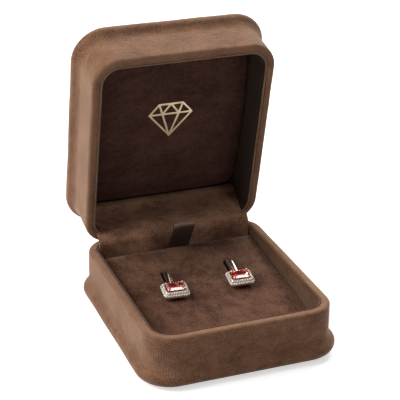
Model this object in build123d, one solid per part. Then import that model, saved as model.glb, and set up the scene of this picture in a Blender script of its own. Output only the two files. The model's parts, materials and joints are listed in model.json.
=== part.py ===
from build123d import *
import math
import os

# Suede covered earring box, open as it stands on a counter.
# Millimetres, +Z up, +X to the right, the front at -Y, the floor at z = 0.
# The lid is drawn shut on the base, then turned open about the hinge pin.

# Outside of the closed box
body_width = 75.0
body_depth = 86.7
corner_radius = 11.1
base_height = 21.1
lid_height = 24.25
seam_gap = 0.2
open_angle = 77.6

# Rounded moulding near the floor, and mirrored near the lid's top
moulding_swell = 2.5
moulding_radius = 3.0
moulding_centre = 4.0
cove_radius = 6.0
moulding_root = 4.0
core_overlap = 0.4
rim_round = 1.3

# Layers of the walls, from outside to inside
suede = 0.7
shell_wall = 2.5
liner_card = 0.8
glue_line = 0.05
base_floor = 3.0
floor_card = 0.8
lid_top_wall = 2.5
turn_in = 9.0
liner_setback = 0.3

# Pad that the box stands on
foot_pad_inset = 4.0

# Hinge behind the curtain
pin_inset = 2.35
pin_radius = 0.5
pin_play = 0.05
knuckle_radius = 0.9
hinge_length = 42.0
lid_end_knuckle = 6.0
lid_mid_knuckle = 9.0
knuckle_gap = 0.3
leaf_thickness = 0.5
arm_slope = 40.0
arm_reach = 3.65
pocket_play = 0.25
web_end_angle = 65.0
lid_leaf_height = 9.5
block_drop = 1.4
base_leaf_height = 12.5
screw_radius = 0.5
screw_head_radius = 1.1
screw_head_height = 0.4
screw_bite = 1.4
screw_spread = 30.0
spring_width = 4.0
spring_thickness = 0.25
spring_lift = 0.1

# Sloping insert that the earrings are pushed into
insert_play = 0.3
insert_slope = 5.86
insert_drop = 6.1
insert_rear_gap = 6.9
insert_suede = 0.8
insert_front_leg = 1.17
insert_card = 1.2
insert_edge_round = 0.7
insert_rear_corner = 1.5
slit_width = 2.9
slit_front = 0.4
slit_rear = 17.9

# Ribbon that pulls the insert out
ribbon_width = 9.2
ribbon_centre = 1.0
ribbon_thickness = 0.3
ribbon_gap = 0.2
ribbon_lean = 32.0
ribbon_length = 13.7
ribbon_tail = 6.0

# Curtain of suede between the lid panel and the base
curtain_thickness = 0.8
curtain_gap = 1.5
curtain_bend_rise = 3.9
curtain_bend_radius = 2.2
curtain_folds = 5
curtain_fold_depth = 0.5
curtain_side_play = 0.6
curtain_tuck = 5.6

# Padded panel inside the lid
panel_play = 0.4
panel_rear_inset = 4.6
panel_edge_depth = 2.1
panel_crown = 2.6
panel_side_crown = 0.8
panel_card = 1.2
spacer_height = 0.95
spacer_width = 5.0
foil_thickness = 0.12
foil_stroke = 0.8
foil_width = 18.0
foil_height = 15.0
foil_table = 10.0
foil_girdle_drop = 4.6
foil_facet = 7.0
foil_centre = -5.0

# Earrings, each measured from the middle of its halo
halo_width = 10.7
halo_depth = 8.4
halo_corner = 1.4
halo_wall = 0.7
halo_rise = 1.5
seat_width = 7.4
seat_depth = 4.95
gallery_wall = 0.7
gallery_drop = 0.8
seat_sink = 1.0
stone_width = 7.2
stone_depth = 4.75
stone_cut_corner = 0.9
girdle_height = 1.6
girdle_band = 0.15
table_height = 2.45
table_share = 0.62
step_share = 0.81
step_rise = 0.6
keel_width = 2.2
keel_depth = 0.6
keel_corner = 0.15
culet_height = -1.2
stone_play = 0.05
claw_radius = 0.35
claw_top = 2.0
pave_radius = 0.42
pave_table_radius = 0.26
pave_height = 0.34
pave_crown = 0.16
pave_pitch = 1.04
pave_rows = (0.26, 0.76)
hook_radius = 0.42
hook_root_radius = 0.75
hook_root_height = -0.2
hook_taper = 0.42
hook_crest_y = 11.0
hook_crest_z = 0.3
hook_setback = 0.6
hook_gap = 0.08
lever_width = 1.6
lever_thickness = 0.7
lever_eye_radius = 0.75
lever_pin_radius = 0.3
lever_pin_play = 0.04
lever_pivot_y = 2.0
lever_rise = 0.3
lever_end = 17.2
ear_lug = 0.35
lug_gap = 0.12
earring_tilt = 10.0
earring_height = 2.5
earrings = {
    "earring_left": {"x": -13.4, "y": -2.4, "yaw": -4.5},
    "earring_right": {"x": 14.3, "y": -1.6, "yaw": -3.0},
}

# Places that follow from the sizes above
bevel_width = seat_width + gallery_wall
bevel_depth = seat_depth + gallery_wall
half_width = body_width / 2
half_depth = body_depth / 2
closed_height = base_height + seam_gap + lid_height
pin_y = half_depth - pin_inset
pin_z = base_height + seam_gap + pin_inset
hinge_axis = Axis((0, pin_y, pin_z), (1, 0, 0))
cavity_inset = suede + shell_wall
liner_inset = cavity_inset + glue_line + liner_card
shell_inner_y = half_depth - cavity_inset
floor_top = base_floor + floor_card
block_top = base_height - block_drop
base_leaf_bottom = block_top - base_leaf_height
insert_height = base_height - insert_drop
insert_rear = half_depth - liner_inset - insert_rear_gap
curtain_front = insert_rear + curtain_gap
curtain_bend_height = base_height + curtain_bend_rise
lid_ceiling = closed_height - (moulding_centre - moulding_radius) - suede - lid_top_wall
panel_back = lid_ceiling - spacer_height - panel_card
panel_edge_height = panel_back - panel_edge_depth
slope_rate = math.tan(math.radians(insert_slope))


def plan_block(inset, low, high):
    """Upright block with the plan outline of the box, drawn in from the wall by inset."""
    plan = RectangleRounded(body_width - 2 * inset, body_depth - 2 * inset, corner_radius - inset)
    return extrude(Pos(0, 0, low) * plan, high - low)


def wall_path():
    """Closed path round the box at the face of its wall."""
    straight_x = half_width - corner_radius
    straight_y = half_depth - corner_radius
    return Wire([
        Line((half_width, 0), (half_width, straight_y)),
        CenterArc((straight_x, straight_y), corner_radius, 0, 90),
        Line((straight_x, half_depth), (-straight_x, half_depth)),
        CenterArc((-straight_x, straight_y), corner_radius, 90, 90),
        Line((-half_width, straight_y), (-half_width, -straight_y)),
        CenterArc((-straight_x, -straight_y), corner_radius, 180, 90),
        Line((-straight_x, -half_depth), (straight_x, -half_depth)),
        CenterArc((straight_x, -straight_y), corner_radius, 270, 90),
        Line((half_width, -straight_y), (half_width, 0)),
    ])


def outer_body(inset, height):
    """Base seen from outside: its wall swept round a plain core, all drawn in by inset."""
    swell_x = moulding_swell - moulding_radius
    rise = math.sqrt((cove_radius + moulding_radius) ** 2 - (cove_radius - swell_x) ** 2)
    turn = math.atan2(rise, cove_radius - swell_x)
    cove_z = moulding_centre + rise

    def on_cove(angle):
        radius = cove_radius + inset
        return (half_width + cove_radius - radius * math.cos(angle), 0, cove_z - radius * math.sin(angle))

    def on_swell(angle):
        radius = moulding_radius - inset
        x = half_width + swell_x + radius * math.cos(angle)
        return (x, 0, moulding_centre + radius * math.sin(angle))

    def on_rim(angle):
        radius = rim_round - inset
        x = half_width - rim_round + radius * math.cos(angle)
        return (x, 0, height - rim_round + radius * math.sin(angle))

    root = half_width - moulding_root
    bottom = on_swell(-math.pi / 2)
    top = on_rim(math.pi / 2)
    profile = make_face([
        ThreePointArc(on_cove(0), on_cove(turn / 2), on_cove(turn)),
        ThreePointArc(on_swell(turn), on_swell((turn - math.pi / 2) / 2), bottom),
        Polyline(bottom, (root, 0, bottom[2]), (root, 0, top[2]), top),
        ThreePointArc(top, on_rim(math.pi / 4), on_rim(0)),
        Line(on_rim(0), on_cove(0)),
    ])
    return sweep(profile, path=wall_path()) + plan_block(moulding_root - core_overlap, bottom[2], top[2])


def lid_side_up(shape):
    """Turns a body drawn like the base over, so that it sits on the base as the lid."""
    return Pos(0, 0, closed_height) * Rot(180, 0, 0) * shape


def box_between(low, high):
    """Block given by its lowest and highest corners."""
    size = [high[i] - low[i] for i in range(3)]
    centre = [(high[i] + low[i]) / 2 for i in range(3)]
    return Pos(*centre) * Box(*size)


def rod_x(radius, low, high, y, z):
    """Round rod along X."""
    return Pos((low + high) / 2, y, z) * Rot(0, 90, 0) * Cylinder(radius, high - low)


def rod_y(radius, low, high, x, z):
    """Round rod along Y."""
    return Pos(x, (low + high) / 2, z) * Rot(90, 0, 0) * Cylinder(radius, high - low)


def side_plate(points, low, high):
    """Plate of the given outline in Y and Z, between two places along X."""
    outline = make_face(Polyline([(low, y, z) for y, z in points], close=True))
    return extrude(outline, high - low, dir=(1, 0, 0))


def hinge_points(points):
    """Places given from the hinge pin, as Y and Z of the box."""
    return [(pin_y + y, pin_z + z) for y, z in points]


def rear_round_cutter(radius):
    """What the lid's lower rear edge loses, so that it can roll over the base's rim."""
    reach = 2 * pin_inset
    corner = box_between((-body_width, pin_y, pin_z - reach), (body_width, pin_y + reach, pin_z))
    return corner - rod_x(radius, -body_width, body_width, pin_y, pin_z)


def opened(shape):
    """Turns a piece of the shut lid to the open rest position."""
    return shape.rotate(hinge_axis, -open_angle)


def save(node, shape):
    """Writes one piece, as a single solid or as a group of them."""
    solids = shape.solids()
    piece = solids[0] if len(solids) == 1 else Compound(children=list(solids))
    export_step(piece, f"parts/{node}.step")
    print(f"{node}: {len(solids)} solid, {sum(s.volume for s in solids):.1f} mm3")


# Hinge shapes that other pieces are cut for
half_hinge = hinge_length / 2
half_mid = lid_mid_knuckle / 2
arm_low = half_mid + knuckle_gap
arm_high = half_hinge - lid_end_knuckle - knuckle_gap
leaf_back_y = pin_y - arm_reach
leaf_front_y = leaf_back_y - leaf_thickness
slope_cos = math.cos(math.radians(arm_slope))
slope_sin = math.sin(math.radians(arm_slope))


def along_arm(distance, offset):
    """Point on the sloping arm: distance out from the pin, offset towards the front."""
    y = -offset * slope_sin - distance * slope_cos
    z = offset * slope_cos - distance * slope_sin
    return y, z


def arm_distance(reach, offset):
    """How far along the arm a line at this offset meets the upright at reach."""
    return (reach - offset * slope_sin) / slope_cos


def gooseneck(low, high, inner, outer, inner_reach, start, bottom):
    """Bent strip from the pin down to an upright, between two places along X."""
    outer_reach = inner_reach + (outer - inner)
    points = hinge_points([
        along_arm(start, inner),
        along_arm(arm_distance(inner_reach, inner), inner),
        (-inner_reach, bottom - pin_z),
        (-outer_reach, bottom - pin_z),
        along_arm(arm_distance(outer_reach, outer), outer),
        along_arm(start, outer),
    ])
    return side_plate(points, low, high)


def hinge_pocket():
    """Room in the lid's rear wall for the knuckles and the base leaf's arms."""
    radius = knuckle_radius + pocket_play
    reach = 2 * radius + pin_inset
    end_y = reach * math.cos(math.radians(web_end_angle))
    end_z = -reach * math.sin(math.radians(web_end_angle))
    points = hinge_points([(0, radius), (-reach, radius), (-reach, -reach), (end_y, end_z), (0, 0)])
    low = -half_hinge - knuckle_gap
    return side_plate(points, low, -low) + rod_x(radius, low, -low, pin_y, pin_z)


def screw_places():
    """X places of the screws along each hinge leaf."""
    return [-screw_spread / 2, screw_spread / 2]


# Base body
base_outside = outer_body(0, base_height)
base_inside = outer_body(suede, base_height)
base_cavity = plan_block(cavity_inset, base_floor, base_height + suede)
block_screw_z = (block_top + floor_top) / 2
leaf_screw_end = shell_inner_y + screw_bite
base_screw_holes = Part() + [
    rod_y(screw_radius + glue_line, leaf_front_y, leaf_screw_end + glue_line, x, block_screw_z)
    for x in screw_places()
]
base_shell = base_inside - base_cavity - base_screw_holes
base_opening = plan_block(cavity_inset, moulding_centre, base_height + suede)
foot_opening = plan_block(turn_in, 0, moulding_centre)
base_suede_cover = base_outside - base_inside - base_opening - foot_opening

base_liner = plan_block(cavity_inset + glue_line, floor_top, base_height - liner_setback)
base_liner -= plan_block(liner_inset, 0, base_height)
liner_notch_x = half_hinge + knuckle_gap
base_liner -= box_between((-liner_notch_x, leaf_front_y, 0), (liner_notch_x, half_depth, base_height))
base_floor_lining = plan_block(cavity_inset + glue_line, base_floor, floor_top)
foot_pad_top = moulding_centre - moulding_radius
base_bottom_pad = plan_block(foot_pad_inset, 0, foot_pad_top)

# Hinge on the base
hinge_block = box_between(
    (-half_hinge, leaf_back_y, floor_top),
    (half_hinge, shell_inner_y - glue_line, block_top),
) - base_screw_holes
knuckle_bore = rod_x(pin_radius + pin_play, -half_hinge, half_hinge, pin_y, pin_z)
hinge_base_leaf = box_between(
    (-half_hinge, leaf_front_y, base_leaf_bottom),
    (half_hinge, leaf_back_y, block_top),
)
strip_inner = knuckle_radius - leaf_thickness
for low in (-arm_high, arm_low):
    high = low + arm_high - arm_low
    arm_foot = block_top - leaf_thickness
    hinge_base_leaf += gooseneck(low, high, strip_inner, knuckle_radius, arm_reach, 0, arm_foot)
    hinge_base_leaf += rod_x(knuckle_radius, low, high, pin_y, pin_z)
hinge_base_leaf = hinge_base_leaf - knuckle_bore - base_screw_holes
hinge_pin = rod_x(pin_radius, -half_hinge, half_hinge, pin_y, pin_z)
hinge_base_screws = Part() + [
    rod_y(screw_radius, leaf_front_y, leaf_screw_end, x, block_screw_z)
    + rod_y(screw_head_radius, leaf_front_y - screw_head_height, leaf_front_y, x, block_screw_z)
    for x in screw_places()
]
spring_inner = knuckle_radius + spring_lift
spring_reach = arm_reach + leaf_thickness
hinge_snap_spring = gooseneck(
    -spring_width / 2, spring_width / 2, spring_inner, spring_inner + spring_thickness,
    spring_reach, leaf_thickness, base_leaf_bottom,
)

# Lid body, drawn shut
pocket = hinge_pocket()
lid_outside = lid_side_up(outer_body(0, lid_height)) - rear_round_cutter(pin_inset)
lid_inside = lid_side_up(outer_body(suede, lid_height)) - rear_round_cutter(pin_inset - suede)
lid_cavity = plan_block(cavity_inset, base_height - suede, lid_ceiling)
lid_leaf_front_y = pin_y - knuckle_radius
lid_leaf_back_y = lid_leaf_front_y + leaf_thickness
lid_leaf_top = pin_z + lid_leaf_height
lid_screw_z = (pin_z + knuckle_radius + lid_leaf_top) / 2
lid_screw_end = lid_leaf_back_y + screw_bite - leaf_thickness
lid_screw_holes = Part() + [
    rod_y(screw_radius + glue_line, lid_leaf_front_y, lid_screw_end + glue_line, x, lid_screw_z)
    for x in screw_places()
]
leaf_recess = box_between(
    (-half_hinge - knuckle_gap, lid_leaf_front_y - shell_wall, pin_z),
    (half_hinge + knuckle_gap, lid_leaf_back_y + glue_line, lid_leaf_top + glue_line),
)
lid_shell = lid_inside - lid_cavity - pocket - leaf_recess - lid_screw_holes
lid_opening = plan_block(cavity_inset, 0, closed_height - moulding_centre)
lid_suede_cover = lid_outside - lid_inside - lid_opening - pocket

lid_liner_low = base_height + seam_gap + liner_setback
lid_liner = plan_block(cavity_inset + glue_line, lid_liner_low, lid_ceiling)
lid_liner -= plan_block(liner_inset, 0, lid_ceiling)
lid_liner -= box_between(
    (-liner_notch_x, leaf_front_y, 0), (liner_notch_x, half_depth, lid_leaf_top + knuckle_gap)
)

lid_segments = [
    (-half_hinge, -half_hinge + lid_end_knuckle),
    (-half_mid, half_mid),
    (half_hinge - lid_end_knuckle, half_hinge),
]
hinge_lid_leaf = box_between(
    (-half_hinge, lid_leaf_front_y, pin_z + knuckle_radius + knuckle_gap),
    (half_hinge, lid_leaf_back_y, lid_leaf_top),
)
for low, high in lid_segments:
    hinge_lid_leaf += box_between((low, lid_leaf_front_y, pin_z), (high, lid_leaf_back_y, lid_leaf_top))
    hinge_lid_leaf += rod_x(knuckle_radius, low, high, pin_y, pin_z)
hinge_lid_leaf = hinge_lid_leaf - knuckle_bore - lid_screw_holes
hinge_lid_screws = Part() + [
    rod_y(screw_radius, lid_leaf_front_y, lid_screw_end, x, lid_screw_z)
    + rod_y(screw_head_radius, lid_leaf_front_y - screw_head_height, lid_leaf_front_y, x, lid_screw_z)
    for x in screw_places()
]

# Padded panel of the lid, drawn shut, its face looking down
panel_half_width = half_width - liner_inset - panel_play
panel_front = -(half_depth - liner_inset - panel_play)
panel_rear = half_depth - liner_inset - panel_rear_inset
panel_corner = corner_radius - liner_inset - panel_play


def panel_plan(inset, low, high):
    """Upright block with the plan outline of the lid panel."""
    width = 2 * (panel_half_width - inset)
    depth = panel_rear - panel_front - 2 * inset
    middle = (panel_rear + panel_front) / 2
    plan = RectangleRounded(width, depth, panel_corner - inset)
    return extrude(Pos(0, middle, low) * plan, high - low)


def crowned_pad(lift):
    """Panel cushion down to its swollen face, with the face lifted off by lift."""
    sections = []
    middle = (panel_rear + panel_front) / 2
    half_span = (panel_rear - panel_front) / 2
    for place in (-1, 0, 1):
        edge = panel_edge_height - lift - panel_crown * (1 - place * place)
        side = body_width / 2
        y = middle + place * half_span
        sections.append(make_face([
            ThreePointArc((-side, y, edge), (0, y, edge - panel_side_crown), (side, y, edge)),
            Polyline((side, y, edge), (side, y, panel_back), (-side, y, panel_back), (-side, y, edge)),
        ]))
    return loft(sections)


pad_low = panel_edge_height - 2 * panel_crown
lid_panel_foam = crowned_pad(-suede) & panel_plan(suede, pad_low, panel_back)
lid_panel_cover = (crowned_pad(0) & panel_plan(0, pad_low, panel_back)) - lid_panel_foam
lid_panel_card = panel_plan(suede, panel_back, panel_back + panel_card)
spacer_low = panel_back + panel_card
lid_spacer_frame = panel_plan(suede, spacer_low, lid_ceiling)
lid_spacer_frame -= panel_plan(suede + spacer_width, spacer_low, lid_ceiling)


def foil_strokes():
    """Outline of a cut gem in even strokes, its table towards the lid's front."""
    half = foil_width / 2
    table = foil_table / 2
    facet = foil_facet / 2
    top = foil_height / 2
    girdle = top - foil_girdle_drop
    lines = [
        ((-table, top), (table, top)),
        ((table, top), (half, girdle)),
        ((half, girdle), (0, -top)),
        ((0, -top), (-half, girdle)),
        ((-half, girdle), (-table, top)),
        ((-half, girdle), (half, girdle)),
        ((-table, top), (-facet, girdle)),
        ((table, top), (facet, girdle)),
        ((0, top), (-facet, girdle)),
        ((0, top), (facet, girdle)),
        ((-facet, girdle), (0, -top)),
        ((facet, girdle), (0, -top)),
    ]
    strokes = []
    for start, end in lines:
        run = Vector(*end) - Vector(*start)
        middle = (Vector(*start) + Vector(*end)) / 2
        angle = math.degrees(math.atan2(run.Y, run.X))
        stroke = SlotCenterToCenter(run.length, foil_stroke)
        strokes.append(Pos(middle.X, middle.Y, 0) * Rot(0, 0, angle) * stroke)
    return Sketch() + strokes


foil_prism = extrude(Pos(0, foil_centre, pad_low) * foil_strokes().mirror(Plane.XZ), panel_back - pad_low)
lid_foil_ornament = (crowned_pad(foil_thickness) - crowned_pad(0)) & foil_prism

# Insert, an upright outline cut by slabs that slope down to the front
insert_half_width = half_width - liner_inset - insert_play
insert_front = -(half_depth - liner_inset - insert_play)
insert_corner = corner_radius - liner_inset - insert_play


def insert_plan(inset, low, high):
    """Upright block with the insert's plan outline."""
    width = 2 * (insert_half_width - inset)
    depth = insert_rear - insert_front - 2 * inset
    middle = (insert_rear + insert_front) / 2
    block = extrude(Pos(0, middle, low) * Rectangle(width, depth), high - low)
    uprights = block.edges().filter_by(Axis.Z)
    block = fillet(uprights.group_by(Axis.Y)[0], insert_corner - inset)
    rear_edges = block.edges().filter_by(Axis.Z).group_by(Axis.Y)[-1]
    return fillet(rear_edges, insert_rear_corner - inset) if inset < insert_rear_corner else block


def sloped_slab(low, high):
    """Slab that slopes with the insert, between two depths measured from its face."""
    reach = body_width + body_depth
    slab = Pos(0, 0, (low + high) / 2) * Box(2 * reach, 2 * reach, high - low)
    return Pos(0, 0, insert_height) * Rot(insert_slope, 0, 0) * slab


def insert_layer(inset, low, high):
    """Sloping layer of the insert."""
    return insert_plan(inset, 0, 2 * base_height) & sloped_slab(low, high)


def earring_place(place):
    """Where an earring lies: the middle of its halo, tilted towards the front."""
    z = insert_height + place["y"] * slope_rate + earring_height
    return Pos(place["x"], place["y"], z) * Rot(0, 0, place["yaw"]) * Rot(earring_tilt, 0, 0)


def slit(place):
    """Opening through the insert for the back of one earring."""
    side = slit_width / 2
    cut = box_between((-side, slit_front, -base_height), (side, slit_rear, base_height))
    cut = fillet(cut.edges().filter_by(Axis.Z), side - glue_line)
    return Pos(place["x"], place["y"], insert_height) * Rot(0, 0, place["yaw"]) * cut


slits = Part() + [slit(place) for place in earrings.values()]
front_face_z = insert_height + insert_front * slope_rate
under_card_z = floor_top + insert_front_leg
card_bottom = -(front_face_z - under_card_z) * math.cos(math.radians(insert_slope))
foam_bottom = card_bottom + insert_card
insert_cover_block = insert_layer(0, foam_bottom, 0)
cover_top = insert_cover_block.faces().sort_by(Axis.Z)[-1]
insert_cover_block = fillet(cover_top.edges(), insert_edge_round)
insert_foam_block = insert_layer(insert_suede, foam_bottom, -insert_suede)
insert_suede_cover = insert_cover_block - insert_foam_block - slits
insert_foam = insert_foam_block - slits
insert_card_block = insert_layer(0, card_bottom, foam_bottom)
between_legs = box_between(
    (-body_width, insert_front + insert_card, 0),
    (body_width, insert_rear - insert_card, base_height),
)
legs = (insert_plan(0, floor_top, base_height) & sloped_slab(-2 * base_height, card_bottom)) - between_legs
insert_platform = insert_card_block + legs - slits

# Pull ribbon, a hairpin of two leaves that leans over the insert
ribbon_low = ribbon_centre - ribbon_width / 2
ribbon_high = ribbon_centre + ribbon_width / 2
hairpin = 2 * ribbon_thickness + ribbon_gap
ribbon_front_y = insert_rear + glue_line
ribbon_knee_z = insert_height + insert_rear * slope_rate + ribbon_gap
lean_y = -math.sin(math.radians(ribbon_lean))
lean_z = math.cos(math.radians(ribbon_lean))


def ribbon_strip(offset, thickness):
    """One leaf of the ribbon, offset back from the insert's rear face."""
    turn = math.tan(math.radians(ribbon_lean / 2))
    near = ribbon_front_y + offset
    far = near + thickness
    near_knee = ribbon_knee_z - offset * turn
    far_knee = near_knee - thickness * turn
    low = ribbon_knee_z - ribbon_tail
    near_end = ribbon_length + offset * turn
    far_end = near_end + thickness * turn
    points = [
        (near, low), (near, near_knee), (near + lean_y * near_end, near_knee + lean_z * near_end),
        (far + lean_y * far_end, far_knee + lean_z * far_end), (far, far_knee), (far, low),
    ]
    return side_plate(points, ribbon_low, ribbon_high)


fold_y = ribbon_front_y + hairpin / 2 + lean_y * ribbon_length
fold_z = ribbon_knee_z + lean_z * ribbon_length
fold_turn = math.tan(math.radians(ribbon_lean / 2)) * hairpin / 2
ribbon_fold = rod_x(
    hairpin / 2, ribbon_low, ribbon_high,
    fold_y + lean_y * fold_turn, fold_z + lean_z * fold_turn - fold_turn,
)
ribbon_front = ribbon_strip(0, ribbon_thickness)
ribbon_rear = ribbon_strip(ribbon_thickness + ribbon_gap, ribbon_thickness)
insert_pull_tab = ribbon_front + ribbon_rear + ribbon_fold

# Curtain from the base's floor, up behind the insert and over to the lid's panel
curtain_half = half_width - liner_inset - curtain_side_play


def lid_point(y, z):
    """Place of a point of the shut lid once it stands open."""
    turn = math.radians(open_angle)
    dy = y - pin_y
    dz = z - pin_z
    open_y = pin_y + dy * math.cos(turn) + dz * math.sin(turn)
    open_z = pin_z - dy * math.sin(turn) + dz * math.cos(turn)
    return open_y, open_z


def curtain_section():
    """Band with shallow rounded folds from side to side."""
    width = 2 * curtain_half / curtain_folds
    edges = []
    for face in (-curtain_thickness / 2, curtain_thickness / 2):
        for fold in range(curtain_folds):
            low = -curtain_half + fold * width
            bulge = face + curtain_fold_depth * (1 if fold % 2 else -1)
            edges.append(ThreePointArc((low, face), (low + width / 2, bulge), (low + width, face)))
    for side in (-curtain_half, curtain_half):
        edges.append(Line((side, -curtain_thickness / 2), (side, curtain_thickness / 2)))
    return make_face(edges)


tuck_y, tuck_z = lid_point(panel_rear + curtain_tuck - panel_rear_inset, panel_back - curtain_thickness)
curtain_mid = curtain_front + curtain_thickness / 2
curtain_line = FilletPolyline(
    (0, curtain_mid, floor_top + glue_line),
    (0, curtain_mid, curtain_bend_height),
    (0, tuck_y, tuck_z),
    radius=curtain_bend_radius,
)
curtain_start = Pos(0, curtain_mid, floor_top + glue_line) * curtain_section()
lid_mouth = base_height + seam_gap - suede
lid_corners = box_between((-body_width, 0, lid_mouth), (body_width, body_depth, lid_ceiling))
lid_corners -= plan_block(liner_inset + curtain_side_play, lid_mouth, lid_ceiling)
hinge_curtain = sweep(curtain_start, path=curtain_line) - opened(lid_corners)


# Earring pieces, drawn flat with the wearer's up along +Y and the face along +Z
def octagon(width, depth, corner, z):
    """Rectangle with cut corners at a height."""
    half_x = width / 2
    half_y = depth / 2
    points = [
        (half_x, -half_y + corner, z), (half_x, half_y - corner, z), (half_x - corner, half_y, z),
        (-half_x + corner, half_y, z), (-half_x, half_y - corner, z), (-half_x, -half_y + corner, z),
        (-half_x + corner, -half_y, z), (half_x - corner, -half_y, z),
    ]
    return make_face(Polyline(points, close=True))


def halo_rectangle(width, depth, corner, z):
    """Rounded rectangle at a height."""
    return Pos(0, 0, z) * RectangleRounded(width, depth, corner)


def pave_planes():
    """Where the small stones sit: even steps along each row of the bevel, facing out of it."""
    planes = []
    for share in pave_rows:
        width = halo_width + share * (bevel_width - halo_width)
        depth = halo_depth + share * (bevel_depth - halo_depth)
        row = RectangleRounded(width, depth, halo_corner * (1 - share / 2)).wire()
        count = round(row.length / pave_pitch)
        for step in range(count):
            middle = row @ (step / count)
            out = (row % (step / count)).cross(Vector(0, 0, 1))
            if out.dot(middle) < 0:
                out = -out
            run = (halo_width - bevel_width) / 2
            facing = Vector(out.X * halo_rise, out.Y * halo_rise, run)
            planes.append(Plane(origin=(middle.X, middle.Y, halo_rise * share), z_dir=facing))
    return planes


def halo_setting():
    """Cast frame with its gallery, corner claws and the lugs of the lever."""
    wall = extrude(halo_rectangle(halo_width, halo_depth, halo_corner, -halo_wall), halo_wall)
    bevel = loft([
        halo_rectangle(halo_width, halo_depth, halo_corner, 0),
        halo_rectangle(bevel_width, bevel_depth, halo_corner / 2, halo_rise),
    ])
    under = -halo_wall - gallery_drop
    gallery = extrude(halo_rectangle(seat_width, seat_depth, halo_corner / 2, under), gallery_drop)
    frame = wall + bevel + gallery
    ledge = girdle_height - seat_sink
    seat = octagon(stone_width + 2 * stone_play, stone_depth + 2 * stone_play, stone_cut_corner, ledge)
    frame -= extrude(seat, halo_rise)
    inner_width = seat_width - 2 * gallery_wall
    inner_depth = seat_depth - 2 * gallery_wall
    frame -= extrude(halo_rectangle(inner_width, inner_depth, halo_corner / 4, under), ledge - under)
    outward = claw_radius * math.sqrt(0.5) + stone_play - stone_cut_corner / 2
    for x in (-stone_width / 2 - outward, stone_width / 2 + outward):
        for y in (-stone_depth / 2 - outward, stone_depth / 2 + outward):
            frame += Pos(x, y, claw_top / 2) * Cylinder(claw_radius, claw_top)
            frame += Pos(x, y, claw_top) * Sphere(claw_radius)
    lug_low = lever_width / 2 + lug_gap
    for side in (-1, 1):
        ends = sorted((side * lug_low, side * (lug_low + ear_lug)))
        lug = box_between(
            (ends[0], lever_pivot_y - lever_eye_radius, lever_pivot_z),
            (ends[1], lever_pivot_y + lever_eye_radius, -halo_wall),
        )
        frame += lug + rod_x(lever_eye_radius, ends[0], ends[1], lever_pivot_y, lever_pivot_z)
    return frame - lever_bore()


def suede_level(y):
    """Height of the insert's face under an earring, in the earring's own frame."""
    return -earring_height - y * math.tan(math.radians(earring_tilt - insert_slope))


lever_pivot_z = suede_level(lever_pivot_y) + lever_rise - lever_eye_radius
lever_end_z = suede_level(lever_end) + lever_rise


def stone_outline(share, z):
    """Outline of the emerald cut stone, drawn in to a share of its girdle."""
    return octagon(stone_width * share, stone_depth * share, stone_cut_corner * share, z)


def centre_stone():
    """Emerald cut stone, deep below the girdle and stepped above it."""
    keel = octagon(keel_width, keel_depth, keel_corner, culet_height)
    pavilion = loft([keel, stone_outline(1, girdle_height)], ruled=True)
    crown_low = girdle_height + girdle_band
    step_height = crown_low + (table_height - crown_low) * step_rise
    girdle = extrude(stone_outline(1, girdle_height), girdle_band)
    crown = loft([stone_outline(1, crown_low), stone_outline(step_share, step_height)], ruled=True)
    top = loft([stone_outline(step_share, step_height), stone_outline(table_share, table_height)], ruled=True)
    return pavilion + girdle + crown + top


def pave_stone(plane):
    """Small round stone in its seat, its crown standing above the metal."""
    stone = Cone(pave_radius, pave_table_radius, pave_height)
    return plane * Pos(0, 0, pave_crown - pave_height / 2) * stone


def pave_seat(plane):
    """Round seat cut into the bevel for one small stone."""
    depth = pave_height - pave_crown + stone_play
    seat = Cylinder(pave_radius + stone_play, pave_height + depth)
    return plane * Pos(0, 0, pave_height / 2 - depth / 2) * seat


def ear_hook():
    """Wire that leaves the top of the halo, runs back and comes down on the lever."""
    root = (0, halo_depth / 2, hook_root_height)
    end = (0, lever_end - hook_setback, lever_end_z + hook_gap)
    run = Spline([root, (0, hook_crest_y, hook_crest_z), end], tangents=[(0, 1, 0), (0, 0, -1)])
    wire = sweep(Plane(origin=root, z_dir=(0, 1, 0)) * Circle(hook_radius), path=run)
    flat_root = Plane(origin=root, x_dir=(1, 0, 0), z_dir=(0, 1, 0))
    flat_end = Plane(origin=run @ hook_taper, x_dir=(1, 0, 0), z_dir=run % hook_taper)
    flat = loft([
        flat_root * Rectangle(2 * hook_root_radius, 2 * hook_radius),
        flat_end * Rectangle(hook_radius, hook_radius),
    ])
    return wire + flat


def lever_bore():
    """Hole for the lever's rivet."""
    reach = lever_width + lug_gap + ear_lug
    return rod_x(lever_pin_radius + lever_pin_play, -reach, reach, lever_pivot_y, lever_pivot_z)


def lever():
    """Strip hinged under the halo that closes the hook."""
    eye = rod_x(lever_eye_radius, -lever_width / 2, lever_width / 2, lever_pivot_y, lever_pivot_z)
    start_z = suede_level(lever_pivot_y) + lever_rise
    points = [
        (lever_pivot_y, start_z), (lever_end, lever_end_z),
        (lever_end, lever_end_z - lever_thickness), (lever_pivot_y, start_z - lever_thickness),
    ]
    strip = side_plate(points, -lever_width / 2, lever_width / 2)
    return eye + strip - lever_bore()


def lever_pin():
    """Rivet that the lever turns on."""
    reach = lever_width / 2 + lug_gap + ear_lug
    return rod_x(lever_pin_radius, -reach, reach, lever_pivot_y, lever_pivot_z)


stone_planes = pave_planes()
halo_stones = Compound(children=[pave_stone(plane) for plane in stone_planes])
earring_pieces = {
    "setting": halo_setting() - [pave_seat(plane) for plane in stone_planes],
    "centre_stone": centre_stone(),
    "halo_stones": halo_stones,
    "hook": ear_hook(),
    "lever": lever(),
    "lever_pin": lever_pin(),
}

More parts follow.
